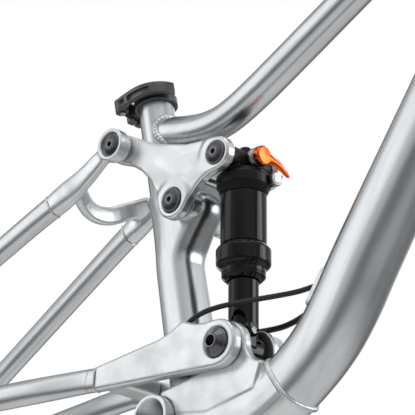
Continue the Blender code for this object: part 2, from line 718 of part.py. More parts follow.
def swingarm():
    for side_name, side in SIDES:
        arm = side_plate(f"swingarm_arm_{side_name}", arm_outline(), side, ARM_INNER,
                         ARM_OUTER, "forging", "rear_triangle", BEVEL)
        recess = ARM_OUTER - 0.0042
        low, high = sorted((side * (ARM_INNER - 0.001), side * (recess + 0.001)))
        route = CABLE_ROUTES[side_name]
        start, ahead = Vector(route[0]), Vector(route[1])
        bore = (HOUSING_R if side < 0 else HOSE_R) + 2 * GAP
        cut(arm,
            cross_rod(f"arm_bearing_seat_{side_name}", MAIN_PIVOT, low, high,
                      BEARING_R + GAP),
            cross_rod(f"arm_cap_recess_{side_name}", MAIN_PIVOT,
                      *sorted((side * recess, side * (ARM_OUTER + 0.01))),
                      PIVOT_CAP_R + GAP),
            rod(f"arm_cable_bore_{side_name}", start - (ahead - start) * 0.5,
                ahead + (ahead - start), bore))
    yoke = outline([(YOKE_FRONT - 0.004, 0.0500, 0.0045), (-0.0700, 0.0480, 0.0065),
                    (-0.0700, 0.0410, 0.0050), (YOKE_FRONT - 0.004, 0.0420, 0.0040)],
                   [None, None, None, None])
    reach = ARM_INNER - GAP
    plate("swingarm_bridge", yoke, -reach, reach, "forging", "rear_triangle", BEVEL)


def chainstay_path(side):
    middle = (ARM_INNER + ARM_OUTER) / 2
    x, z = CHAINSTAY_FRONT
    front = ARM_END_X - GAP
    run = [(front, middle, ARM_END_Z), (front - 0.008, middle, ARM_END_Z),
           (front - 0.016, middle, ARM_END_Z), (-0.1250, 0.0370, 0.0425),
           (-0.1700, 0.0450, 0.0385), (-0.2400, 0.0560, 0.0320), (-0.3300, 0.0690, 0.0220),
           (x + 0.030, DROPOUT_MIDDLE - 0.0005, z + 0.0010),
           (x + 0.010, DROPOUT_MIDDLE, z), (x + GAP, DROPOUT_MIDDLE, z)]
    return smooth_path([(a, side * b, c) for a, b, c in run], 2)


def chainstays():
    for side_name, side in SIDES:
        tube(f"chainstay_{side_name}", chainstay_path(side), CHAINSTAY_HALF,
             CHAINSTAY_SIDE, STAY_POWER, "raw_tube", "rear_triangle", 18, 0.0018)


STAY_SLOPE = radians(33.0)
STAY_BACK = Vector((-cos(STAY_SLOPE), 0.0, -sin(STAY_SLOPE)))
STAY_SQUARE = Vector((-sin(STAY_SLOPE), 0.0, cos(STAY_SLOPE)))
FLEX_GAP = 0.0005


def dropouts():
    x, z = CHAINSTAY_FRONT
    low = STAY_FLEX - STAY_SQUARE * STAY_END_HALF
    high = STAY_FLEX + STAY_SQUARE * STAY_END_HALF
    shape = outline([circle(REAR_AXLE, 0.0170), (x, z - STAY_END_HALF, 0),
                     (x, z + STAY_END_HALF, 0), (low.x, low.z, 0), (high.x, high.z, 0)],
                    [0.040, None, None, None, 0.060])
    for side_name, side in SIDES:
        made = side_plate(f"dropout_{side_name}", shape, side, HUB_HALF,
                          HUB_HALF + DROPOUT_THICKNESS, "forging", "rear_triangle")
        cut(made, cross_rod(f"dropout_bore_{side_name}", REAR_AXLE, -0.1, 0.1,
                            AXLE_R + GAP))
    face = HUB_HALF + DROPOUT_THICKNESS + GAP
    hanger = outline([circle(REAR_AXLE, 0.0125), (REAR_AXLE.x - 0.0100, -0.0160, 0.0085)],
                     [0.050, 0.050])
    made = plate("derailleur_hanger", hanger, -face - 0.0060, -face, "black_alloy",
                 "rear_triangle", 0.0008)
    cut(made,
        cross_rod("hanger_axle_bore", REAR_AXLE, -0.1, -0.07, AXLE_R + GAP),
        cross_rod("hanger_mech_bore", Vector((REAR_AXLE.x - 0.0100, 0, -0.0160)), -0.1,
                  -0.07, 0.0050))
    axle = cross_rod("thru_axle", REAR_AXLE, -face - 0.0070, face + 0.0005, AXLE_R, "steel",
                     "rear_triangle")
    unite(axle, cross_rod("thru_axle_head", REAR_AXLE, face, face + 0.0050, 0.0100,
                          body="rear_triangle"))
    cut(axle, socket_cutter("thru_axle_socket",
                            Vector((REAR_AXLE.x, face + 0.0050, REAR_AXLE.z)), 1, 0.0060,
                            0.0060))


def brake_mount():
    """Two posts for the brake caliper, welded on top of the left chainstay."""
    path = chainstay_path(1)
    shape = outline([(-0.3900, 0.0200, 0.004), (-0.3250, 0.0270, 0.004),
                     (-0.3260, 0.0440, 0.0030), (-0.3390, 0.0430, 0.0030),
                     (-0.3790, 0.0399, 0.0030), (-0.3910, 0.0390, 0.0030)],
                    [None, None, None, 0.0300, None, None])
    made = plate("brake_mount", shape, DROPOUT_MIDDLE - 0.0135, DROPOUT_MIDDLE + 0.0025,
                 "forging", "rear_triangle", 0.0008)
    rings = path_sections(path, CHAINSTAY_HALF, CHAINSTAY_SIDE, STAY_POWER, 18, -GAP)
    cut(made, skin("brake_mount_stay_envelope", rings))


# ---------------------------------------------------------------- seatstays
STAY_ROUTE = [(-0.0800, 0.0500, 0.2575), (-0.1000, 0.0505, 0.2420),
              (-0.1250, 0.0522, 0.2255), (-0.1700, 0.0570, 0.1985),
              (-0.3000, 0.0705, 0.1180)]
STAY_HALF = [(0, 0.0088), (0.06, 0.0105), (0.13, 0.0130), (0.2, 0.0118), (0.8, 0.0108),
             (1, STAY_END_HALF)]
STAY_SIDE = [(0, 0.0052), (0.08, 0.0060), (0.15, 0.0088), (0.8, 0.0085), (1, 0.0045)]
STAY_WELD = 10  # section at which the forged yoke ends and the drawn stay begins


def stay_sections(side, inset=0.0):
    lower = STAY_FLEX - STAY_BACK * FLEX_GAP
    points = [(STAY_PIVOT.x - 0.0104, 0.0500, STAY_PIVOT.z - 0.0076)] + STAY_ROUTE
    points += [(lower.x - STAY_BACK.x * d, DROPOUT_MIDDLE, lower.z - STAY_BACK.z * d)
               for d in (0.024, 0.010, 0.0)]
    path = smooth_path([(x, side * y, z) for x, y, z in points], 3)
    return path, path_sections(path, STAY_HALF, STAY_SIDE, STAY_POWER, 18, inset)


BRIDGE_ROUTE = [(-0.1020, 0.0455, 0.2430), (-0.1150, 0.0390, 0.2390),
                (-0.1215, 0.0300, 0.2345), (-0.1260, 0.0160, 0.2275),
                (-0.1275, 0.0, 0.2250)]
BRIDGE_HALF_HEIGHT = 0.0090
BRIDGE_HALF_DEPTH = 0.0052


def seatstay_yoke():
    """One forging: two pivot bosses, two short arms and the bowed bridge between them."""
    half = [Vector(p) for p in BRIDGE_ROUTE]
    mirrored = [Vector((p.x, -p.y, p.z)) for p in reversed(half[:-1])]
    path = smooth_path(half + mirrored, 2)
    rings = path_sections(path, [(0, BRIDGE_HALF_HEIGHT), (1, BRIDGE_HALF_HEIGHT)],
                          [(0, BRIDGE_HALF_DEPTH), (1, BRIDGE_HALF_DEPTH)],
                          [(0, 4.0), (1, 4.0)], 16, across=Vector((1, 0, 0)))
    made = skin("seatstay_yoke", rings, finish="forging", body="seatstays")
    outer = STAY_BOSS_INNER + STAY_BOSS_WIDTH
    for side_name, side in SIDES:
        low, high = sorted((side * STAY_BOSS_INNER, side * outer))
        _, stay = stay_sections(side)
        unite(made,
              skin(f"yoke_arm_{side_name}", stay[:STAY_WELD + 1], body="seatstays"),
              cross_rod(f"yoke_boss_{side_name}", STAY_PIVOT, low, high, STAY_BOSS_R,
                        body="seatstays"))
    for side_name, side in SIDES:
        cut(made, side_cutter(f"yoke_bore_{side_name}", STAY_PIVOT, side,
                              [(STAY_BORE_R, 0.03), (CAP_R + GAP, outer - 0.0042)],
                              "seatstays"))


def seatstays():
    for side_name, side in SIDES:
        path, outer = stay_sections(side)
        _, inner = stay_sections(side, 0.0018)
        ahead = (path[STAY_WELD + 1] - path[STAY_WELD - 1]).normalized() * GAP

        def trimmed(rings):
            return [[p + ahead for p in rings[STAY_WELD]]] + rings[STAY_WELD + 1:]

        skin(f"seatstay_{side_name}", trimmed(outer), every_other(trimmed(inner)),
             "raw_tube", "seatstays")


# ---------------------------------------------------------------- rocker link
LINK_BRIDGE_REACH = 0.0300
LINK_BRIDGE_R = 0.0055
LINK_BRIDGE_ANGLE = radians(60)


def rocker_link():
    """One forging: two three-armed side plates and a bar between them."""
    shape = outline([circle(STAY_PIVOT, LINK_REAR_R), circle(ROCKER_PIVOT, LINK_MIDDLE_R),
                     circle(SHOCK_TOP, LINK_FRONT_R)], [0.070, 0.048, 0.210])
    made = side_plate("rocker_link", shape, -1, LINK_INNER, LINK_OUTER, "forging",
                      "rocker", BEVEL)
    unite(made, side_plate("link_plate_left", shape, 1, LINK_INNER, LINK_OUTER,
                           body="rocker", bevel=BEVEL))
    reach = Vector((cos(LINK_BRIDGE_ANGLE), 0, sin(LINK_BRIDGE_ANGLE))) * LINK_BRIDGE_REACH
    inside = LINK_INNER + 0.0043
    unite(made, cross_rod("link_bar", ROCKER_PIVOT + reach, -inside, inside,
                          LINK_BRIDGE_R, body="rocker"))
    recess = LINK_OUTER - 0.0010
    housing_end = ROCKER_HOUSING_HALF + GAP
    for side_name, side in SIDES:
        for point, label, radius, inner, outer in (
                (ROCKER_PIVOT, "middle", 0.0142, housing_end, inside),
                (SHOCK_TOP, "front", 0.0130, HEAD_HALF_WIDTH + 2 * GAP, inside),
                (STAY_PIVOT, "rear", 0.0121, inside + 0.0011,
                 STAY_BOSS_INNER - 2 * GAP)):
            low, high = sorted((side * inner, side * outer))
            unite(made, cross_rod(f"link_boss_{label}_{side_name}", point, low, high,
                                  radius, body="rocker"))
    for side_name, side in SIDES:
        cut(made,
            side_cutter(f"link_middle_bore_{side_name}", ROCKER_PIVOT, side,
                        [(ROCKER_AXLE_R + GAP, 0.02),
                         (CAP_R + GAP, ROCKER_HOUSING_HALF + 0.0037)], "rocker"),
            side_cutter(f"link_front_bore_{side_name}", SHOCK_TOP, side,
                        [(BOLT_BORE_R, 0.02), (CAP_R + GAP, recess)], "rocker"),
            side_cutter(f"link_pin_bore_{side_name}", STAY_PIVOT, side,
                        [(STAY_PIN_R + GAP, LINK_INNER + 0.0007)], "rocker"))


# ---------------------------------------------------------------- shock
EYE_R = 0.0170
EYE_HALF = 0.0120
BUSH_R = 0.0110
SHAFT_TOP = 0.1080
SEAL_LOW, SEAL_STEP, SEAL_TOP = 0.0680, 0.0800, 0.1025
SEAL_SMALL_R, SEAL_BIG_R = 0.0208, 0.0260
CAN_TOP = 0.1530
HEAD_TOP_AT = 0.1765
TRUNNION_R = 0.0118
HEAD_BOSS_TOP = 0.1976
KNOB_AT = 0.1870
KNOB_BASE_R = 0.0085
KNOB_START, KNOB_END = 0.0123, 0.0190
LEVER_THICKNESS = 0.0060
REBOUND_AT = 0.1660
REBOUND_LEFT = 0.0130
REBOUND_SEAT = 0.0252
REBOUND_R = 0.0068


def shock_parts():
    shaft = lathe("shock_shaft", [(0, 0.004), (SHAFT_R, 0.004), (SHAFT_R, SHAFT_TOP),
                                  (0, SHAFT_TOP)], MAIN_PIVOT, SHOCK_UP, "shock_black",
                  "shock_shaft")
    tab_axes = (SHOCK_UP, LEFT, SHOCK_AHEAD)
    unite(shaft,
          cross_rod("shock_eye", MAIN_PIVOT, -EYE_HALF, EYE_HALF, EYE_R,
                    body="shock_shaft"),
          box("shock_tab", on_shock(0.0110, 0.0150, -0.0070), tab_axes,
              (0.0240, 0.0105, 0.0070), body="shock_shaft", bevel=0.001))
    cut(shaft, cross_rod("shock_eye_bore", MAIN_PIVOT, -0.03, 0.03, BUSH_R + GAP,
                         body="shock_shaft"))
    lathe("shock_tab_bolt", [(0, 0), (0.0034, 0), (0.0034, 0.0012), (0, 0.0022)],
          on_shock(0.0150, 0.0185 + GAP, -0.0070), SHOCK_AHEAD, "steel", "shock_shaft")
    ring_ends = EAR_INNER - GAP
    ring("shock_eye_bush", (MAIN_PIVOT.x, -ring_ends, MAIN_PIVOT.z),
         (MAIN_PIVOT.x, ring_ends, MAIN_PIVOT.z), BUSH_R, PIVOT_AXLE_R + GAP,
         "black_alloy", "shock_shaft")

    bore = SHAFT_R + GAP
    seal = [(bore, SEAL_LOW), (SEAL_SMALL_R - 0.0040, SEAL_LOW),
            (SEAL_SMALL_R, SEAL_LOW + 0.0040), (SEAL_SMALL_R, SEAL_STEP - 0.0010),
            (SEAL_BIG_R - 0.0030, SEAL_STEP + 0.0010), (SEAL_BIG_R, SEAL_STEP + 0.0050),
            (SEAL_BIG_R, SEAL_TOP - 0.0020), (SEAL_BIG_R - 0.0020, SEAL_TOP),
            (bore, SEAL_TOP)]
    lathe("shock_seal_head", seal, MAIN_PIVOT, SHOCK_UP, "shock_black", "shock_can", True)
    ring("shock_can", on_shock(SEAL_TOP + GAP), on_shock(CAN_TOP - GAP), CAN_R,
         CAN_BORE_R, "shock_black", "shock_can")
    head = lathe("shock_head", [(0, CAN_TOP), (CAN_R, CAN_TOP), (HEAD_R, CAN_TOP + 0.0080),
                                (HEAD_R, HEAD_TOP_AT - 0.0060),
                                (HEAD_R - 0.0060, HEAD_TOP_AT), (0, HEAD_TOP_AT)],
                 MAIN_PIVOT, SHOCK_UP, "black_alloy", "shock_can")
    reach = HEAD_HALF_WIDTH
    unite(head,
          cross_rod("head_trunnion", SHOCK_TOP, -reach, reach, TRUNNION_R,
                    body="shock_can"),
          rod("head_knob_boss", on_shock(KNOB_AT), on_shock(KNOB_AT, KNOB_START - GAP),
              KNOB_BASE_R, body="shock_can"),
          rod("head_valve_boss", on_shock(KNOB_AT), on_shock(HEAD_BOSS_TOP), 0.0062,
              body="shock_can"),
          rod("head_rebound_boss", on_shock(REBOUND_AT, 0.0, REBOUND_LEFT),
              on_shock(REBOUND_AT, REBOUND_SEAT, REBOUND_LEFT), REBOUND_R - 0.0006,
              body="shock_can"))
    for side_name, side in SIDES:
        cut(head, cross_rod(f"head_thread_{side_name}", SHOCK_TOP,
                            *sorted((side * (reach - 0.0083), side * 0.05)),
                            BOLT_R + GAP, body="shock_can"))
    lathe("valve_cap", [(0, 0), (0.0048, 0), (0.0048, 0.0054), (0.0040, 0.0062),
                        (0, 0.0062)], on_shock(HEAD_BOSS_TOP + GAP), SHOCK_UP,
          "black_plastic", "shock_can")
    rod("lockout_knob_base", on_shock(KNOB_AT, KNOB_START), on_shock(KNOB_AT, KNOB_END),
        KNOB_BASE_R, "steel", "shock_can")
    rod("rebound_knob", on_shock(REBOUND_AT, REBOUND_SEAT + GAP, REBOUND_LEFT),
        on_shock(REBOUND_AT, REBOUND_SEAT + 0.0055, REBOUND_LEFT), REBOUND_R, "steel",
        "rebound_knob")
    blade = outline([(0, 0, 0.0090), (0.0320, -0.0110, 0.0022)], [None, None])
    hub = on_shock(KNOB_AT, KNOB_END + GAP)
    slab("lockout_lever", blade, hub, (LEFT, SHOCK_UP, SHOCK_AHEAD), 0.0,
         LEVER_THICKNESS, "orange_lever", "lockout_lever", 0.0008)


# ---------------------------------------------------------------- seat clamp
COLLAR_R = 0.0213
COLLAR_DROP = 0.0150
COLLAR_LIP = 0.0018
CLAMP_EAR_HALF = 0.0090
CLAMP_EAR_REACH = 0.0325
SKEWER_REACH = 0.0265
SKEWER_LEVEL = -0.0030
SKEWER_R = 0.0029
LEVER_HUB = (-0.0265, -0.0195)
LEVER_HUB_R = 0.0068
LEVER_LOW, LEVER_HIGH = -0.0030, 0.0085
LEVER_INNER_R = 0.0238
LEVER_OUTER_R = 0.0286
LEVER_ENDS = (radians(243), radians(366))
CAM_PIN_R = 0.0030


def clamp_point(ahead, left, up):
    return SEAT_TOP + SEAT_AHEAD * ahead + LEFT * left + SEAT_UP * up


def seat_clamp():
    seat = SEAT_TUBE_R + GAP
    axes = (SEAT_AHEAD, LEFT, SEAT_UP)
    collar = lathe("seat_clamp_collar",
                   [(seat, -COLLAR_DROP), (COLLAR_R, -COLLAR_DROP), (COLLAR_R, COLLAR_LIP),
                    (SEATPOST_BORE_R + 0.0004, COLLAR_LIP), (SEATPOST_BORE_R + 0.0004, GAP),
                    (seat, GAP)], SEAT_TOP, SEAT_UP, "black_alloy", closed=True)
    ear = [(-CLAMP_EAR_REACH, -CLAMP_EAR_HALF), (-0.0190, -CLAMP_EAR_HALF),
           (-0.0190, CLAMP_EAR_HALF), (-CLAMP_EAR_REACH, CLAMP_EAR_HALF)]
    unite(collar, slab("clamp_ears", ear, SEAT_TOP, axes, SKEWER_LEVEL - 0.0080,
                       SKEWER_LEVEL + 0.0048, bevel=0.0012))
    cut(collar,
        box("clamp_gap_cutter", clamp_point(-0.0280, 0, 0), axes,
            (0.0260, SLOT_WIDTH, 0.05)),
        rod("clamp_skewer_bore", clamp_point(-SKEWER_REACH, -0.02, SKEWER_LEVEL),
            clamp_point(-SKEWER_REACH, 0.02, SKEWER_LEVEL), SKEWER_R + GAP))
    end = abs(LEVER_HUB[1]) - LEVER_HUB_R - GAP
    rod("seat_clamp_skewer", clamp_point(-SKEWER_REACH, -end, SKEWER_LEVEL),
        clamp_point(-SKEWER_REACH, CLAMP_EAR_HALF + 0.0052, SKEWER_LEVEL), SKEWER_R,
        "steel")
    ring("seat_clamp_saddle",
         clamp_point(-SKEWER_REACH, -end + 0.0002, SKEWER_LEVEL),
         clamp_point(-SKEWER_REACH, -CLAMP_EAR_HALF - GAP, SKEWER_LEVEL), 0.0062,
         SKEWER_R + GAP, "black_plastic")
    ring("seat_clamp_nut",
         clamp_point(-SKEWER_REACH, CLAMP_EAR_HALF + GAP, SKEWER_LEVEL),
         clamp_point(-SKEWER_REACH, CLAMP_EAR_HALF + 0.0060, SKEWER_LEVEL), 0.0060,
         SKEWER_R + GAP, "black_alloy")
    hub = clamp_point(*LEVER_HUB, 0)
    rod("seat_clamp_cam_pin", hub + SEAT_UP * (SKEWER_LEVEL - 0.0030),
        hub + SEAT_UP * (LEVER_HIGH - 0.0010), CAM_PIN_R, "steel")
    begin, finish = LEVER_ENDS
    steps = 14
    turns = [begin + (finish - begin) * k / steps for k in range(steps + 1)]
    inner = [(LEVER_INNER_R * cos(t), LEVER_INNER_R * sin(t)) for t in turns]
    outer = [(LEVER_OUTER_R * cos(t), LEVER_OUTER_R * sin(t)) for t in turns]
    x, y = LEVER_HUB
    round_hub = [(x + LEVER_HUB_R * cos(a), y + LEVER_HUB_R * sin(a))
                 for a in (radians(d) for d in range(60, 241, 20))]
    band = slab("seat_clamp_lever", round_hub + outer + inner[::-1], SEAT_TOP, axes,
                LEVER_LOW, LEVER_HIGH, "black_alloy", "clamp_lever", 0.0008)
    cut(band, rod("cam_pin_bore", hub - SEAT_UP * 0.02, hub + SEAT_UP * 0.02,
                  CAM_PIN_R + GAP, body="clamp_lever"))


# ---------------------------------------------------------------- build
def build():
    clear_scene()
    add_body("rear_triangle", MAIN_PIVOT)
    add_body("seatstays", STAY_FLEX)
    add_body("rocker", ROCKER_PIVOT)
    add_body("shock_shaft", MAIN_PIVOT)
    add_body("shock_can", SHOCK_TOP)
    add_body("lockout_lever", on_shock(KNOB_AT, KNOB_END))
    add_body("rebound_knob", on_shock(REBOUND_AT, REBOUND_SEAT, REBOUND_LEFT))
    add_body("clamp_lever", clamp_point(*LEVER_HUB, 0))
    for builder in (seat_tube, rocker_housing, head_tube, top_tube, down_tube,
                    bottom_bracket_shell, pivot_forging, cable_ports, cables,
                    pivot_hardware, swingarm, chainstays, dropouts, brake_mount,
                    seatstay_yoke, seatstays, rocker_link, shock_parts, seat_clamp):
        builder()
    weld_cuts()


build()
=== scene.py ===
"""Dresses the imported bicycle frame: bare brushed tubes, satin forgings, weld beads,
black hardware, the air shock, the seat clamp and the cable jumpers."""

import json
from math import cos, pi, radians, sin

import bmesh
import bpy
import numpy as np
from mathutils import Matrix, Vector


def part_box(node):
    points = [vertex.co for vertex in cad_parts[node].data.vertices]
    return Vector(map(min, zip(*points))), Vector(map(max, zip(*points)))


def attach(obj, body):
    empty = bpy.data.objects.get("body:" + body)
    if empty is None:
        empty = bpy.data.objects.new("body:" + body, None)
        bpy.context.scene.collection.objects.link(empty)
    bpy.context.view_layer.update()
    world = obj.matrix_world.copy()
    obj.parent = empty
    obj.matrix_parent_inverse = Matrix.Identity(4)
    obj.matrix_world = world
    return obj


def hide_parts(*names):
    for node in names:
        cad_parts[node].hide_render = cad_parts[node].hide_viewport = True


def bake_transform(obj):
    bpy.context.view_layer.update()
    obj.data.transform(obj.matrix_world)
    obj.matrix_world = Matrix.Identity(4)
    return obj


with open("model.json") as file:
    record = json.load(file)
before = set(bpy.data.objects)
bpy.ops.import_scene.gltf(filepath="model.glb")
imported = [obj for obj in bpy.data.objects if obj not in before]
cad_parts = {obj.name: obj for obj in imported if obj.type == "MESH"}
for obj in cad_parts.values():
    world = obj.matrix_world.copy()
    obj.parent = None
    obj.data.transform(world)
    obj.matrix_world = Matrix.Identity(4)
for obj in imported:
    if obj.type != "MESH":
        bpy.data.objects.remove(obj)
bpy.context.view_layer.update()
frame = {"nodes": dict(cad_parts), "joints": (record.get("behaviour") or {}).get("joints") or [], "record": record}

# ------------------------------ camera, floor, light
# A long lens looks up at the drive side from ahead of it. The frame hangs from its
# bottom bracket, so the floor lies well below it, under the camera too.
CAMERA_PLACE = (2.0077, -2.0632, -0.6758)
CAMERA_RIGHT = (0.7333, 0.6761, 0.0711)
CAMERA_UP = (0.1506, -0.2636, 0.9528)
CAMERA_LENS = 275.86
FLOOR_LEVEL = -1.60
FLOOR_SIZE = 60.0
FLOOR_WHITE_SHARE = 0.6
# Distances over which the floor's painted glow, seen only by metal, fades out.
FLOOR_GLOW_FADES = (2.4, 4.6)
WHITE = (1.0, 1.0, 1.0, 1.0)


def placed(name, data):
    """A new object in the scene."""
    thing = bpy.data.objects.new(name, data)
    bpy.context.scene.collection.objects.link(thing)
    return thing


def aim_camera():
    """A camera whose axes are given as unit vectors, so that it keeps its slight roll."""
    right = Vector(CAMERA_RIGHT).normalized()
    up = Vector(CAMERA_UP)
    up = (up - right * up.dot(right)).normalized()
    turn = Matrix((right, up, right.cross(up))).transposed().to_4x4()
    lens = bpy.data.cameras.new("camera")
    lens.lens = CAMERA_LENS
    lens.clip_end = 100.0
    camera = placed("camera", lens)
    camera.matrix_world = Matrix.Translation(CAMERA_PLACE) @ turn
    bpy.context.scene.camera = camera


def new_node(tree, kind, *given, **named):
    """A shader node whose sockets are filled in order or by name. A socket of another node
    is linked, and anything else is a plain value."""
    node = tree.nodes.new("ShaderNode" + kind)
    filled = list(zip(node.inputs, given))
    filled += [(node.inputs[name.replace("_", " ")], value) for name, value in named.items()]
    for socket, value in filled:
        if isinstance(value, bpy.types.NodeSocket):
            tree.links.new(value, socket)
        else:
            socket.default_value = value
    return node


def reckon(tree, how, first, second):
    """A math node of two sides: each is a socket or a plain value."""
    node = new_node(tree, "Math", first, second)
    node.operation = how
    return node.outputs[0]


def ranged(tree, value, begins, ends, low, high, way="LINEAR"):
    """A value between two ends, spread from low to high."""
    node = new_node(tree, "MapRange", value, begins, ends, low, high)
    node.interpolation_type = way
    return node.outputs[0]


def seen_ray(tree):
    """Two shares: 1 for camera, transmission and glossy rays, and 1 for glossy rays only."""
    path = new_node(tree, "LightPath").outputs
    clear = reckon(tree, "MAXIMUM", path["Is Camera Ray"], path["Is Transmission Ray"])
    return reckon(tree, "MAXIMUM", clear, path["Is Glossy Ray"]), path["Is Glossy Ray"]


# The room that bare metal shows: its grey rises between two heights and is kept within
# limits. Each soft wall has a direction, the cosines at which it begins and is full, and
# how much it adds to the grey.
ROOM_HEIGHTS = (-0.45, 0.55)
ROOM_GREYS = (0.14, 0.36)
ROOM_LIMITS = (0.08, 4.0)
WALLS = [((-0.62, -0.72, 0.30), 0.50, 0.90, 0.12), ((0.10, -0.30, 0.95), 0.55, 0.95, 0.20),
         ((0.62, 0.62, 0.48), 0.90, 0.97, 0.25), ((0.90, -0.30, 0.30), 0.85, 0.96, 0.15),
         ((-0.45, -0.89, -0.02), 0.80, 0.97, 0.26),
         ((-0.20, 0.95, 0.25), 0.60, 0.95, 0.25), ((-0.663, 0.688, 0.295), 0.75, 0.97, -0.22),
         ((0.60, -0.40, 0.66), 0.55, 0.95, 0.14), ((-0.938, -0.179, 0.297), 0.978, 0.994, 0.3),
         ((0.738, 0.612, 0.284), 0.940, 0.972, 2.4)]


def studio_world():
    """White behind the object. Metal shows the room: grey, dim below, with soft walls."""
    world = bpy.data.worlds.new("studio")
    bpy.context.scene.world = world
    world.use_nodes = True
    tree = world.node_tree
    ambient = tree.nodes["Background"]
    ambient.inputs["Color"].default_value = (0.95, 0.97, 1.0, 1.0)
    ambient.inputs["Strength"].default_value = 0.42
    where = new_node(tree, "TexCoord").outputs["Generated"]
    height = new_node(tree, "SeparateXYZ", where).outputs["Z"]
    level = ranged(tree, height, *ROOM_HEIGHTS, *ROOM_GREYS)
    for direction, begins, full, share in WALLS:
        facing = new_node(tree, "VectorMath", where, Vector(direction).normalized())
        facing.operation = "DOT_PRODUCT"
        wall = ranged(tree, facing.outputs["Value"], begins, full, 0.0, share, "SMOOTHSTEP")
        level = reckon(tree, "ADD", level, wall)
    level = reckon(tree, "MINIMUM", level, ROOM_LIMITS[1])
    level = reckon(tree, "MAXIMUM", level, ROOM_LIMITS[0])
    white = new_node(tree, "Background", Color=WHITE, Strength=1.0)
    room = new_node(tree, "Background", Color=(0.96, 0.985, 1.0, 1.0), Strength=level)
    seen, glossy = seen_ray(tree)
    by_gloss = new_node(tree, "MixShader", glossy, white.outputs[0], room.outputs[0])
    by_view = new_node(tree, "MixShader", seen, ambient.outputs[0], by_gloss.outputs[0])
    tree.links.new(by_view.outputs[0], tree.nodes["World Output"].inputs["Surface"])


def floor_sheet():
    """A pale floor: matt, which keeps the shadow, and partly white where it is seen. Metal also sees a painted
    glow in the floor, a white emission seen only in reflections, which fades with the distance from the object."""
    half = FLOOR_SIZE / 2
    corners = [(-half, -half), (half, -half), (half, half), (-half, half)]
    sheet = bpy.data.meshes.new("studio_floor")
    sheet.from_pydata([(x, y, FLOOR_LEVEL) for x, y in corners], [], [(0, 1, 2, 3)])
    paint = bpy.data.materials.new("studio_floor")
    paint.use_nodes = True
    tree = paint.node_tree
    matt = tree.nodes["Principled BSDF"]
    matt.inputs["Base Color"].default_value = (0.40, 0.40, 0.40, 1.0)
    matt.inputs["Roughness"].default_value = 0.9
    glow = new_node(tree, "Emission", Color=WHITE)
    seen, glossy = seen_ray(tree)
    away = new_node(tree, "VectorMath", new_node(tree, "TexCoord").outputs["Object"])
    away.operation = "LENGTH"
    near = ranged(tree, away.outputs["Value"], *FLOOR_GLOW_FADES, 1.0, 0.0, "SMOOTHSTEP")
    # Painted glow: glossy rays see the floor's white emission near the object only, as a pool of light that no
    # lamp gives.
    painted_glow_in_metal = reckon(tree, "MULTIPLY", glossy, near)
    shown = reckon(tree, "ADD", reckon(tree, "SUBTRACT", seen, glossy), painted_glow_in_metal)
    share = reckon(tree, "MULTIPLY", shown, FLOOR_WHITE_SHARE)
    mix = new_node(tree, "MixShader", share, matt.outputs[0], glow.outputs[0])
    tree.links.new(mix.outputs[0], tree.nodes["Material Output"].inputs["Surface"])
    sheet.materials.append(paint)
    floor = placed("studio_floor", sheet)


def soft_lamp(name, place, size, glow, aim=(0.0, 0.0, 0.25)):
    """A large lamp of a given brightness: its power is pi times brightness and area."""
    lamp = bpy.data.lights.new(name, "AREA")
    lamp.shape = "RECTANGLE"
    lamp.size, lamp.size_y = size
    lamp.energy = glow * pi * size[0] * size[1]
    holder = placed(name, lamp)
    holder.location = place
    holder.rotation_mode = "QUATERNION"
    holder.rotation_quaternion = (Vector(aim) - Vector(place)).to_track_quat("-Z", "Y")


aim_camera()
studio_world()
floor_sheet()
soft_lamp("key_lamp", (-2.3, -2.4, 1.35), (2.0, 2.0), 0.80)
soft_lamp("top_lamp", (0.3, -0.4, 3.0), (2.4, 2.4), 0.90)
soft_lamp("back_lamp", (-1.4, 2.6, 1.5), (1.8, 1.8), 0.80)
soft_lamp("front_strip", (2.2, 2.0, 1.0), (0.5, 2.2), 1.00)

# ------------------------------ seat tube
# A drawn round tube whose lower half is formed into a lobe that carries the rocker
# pivot. It is aluminium, brushed by hand under a clear coat, and bored for a seatpost.


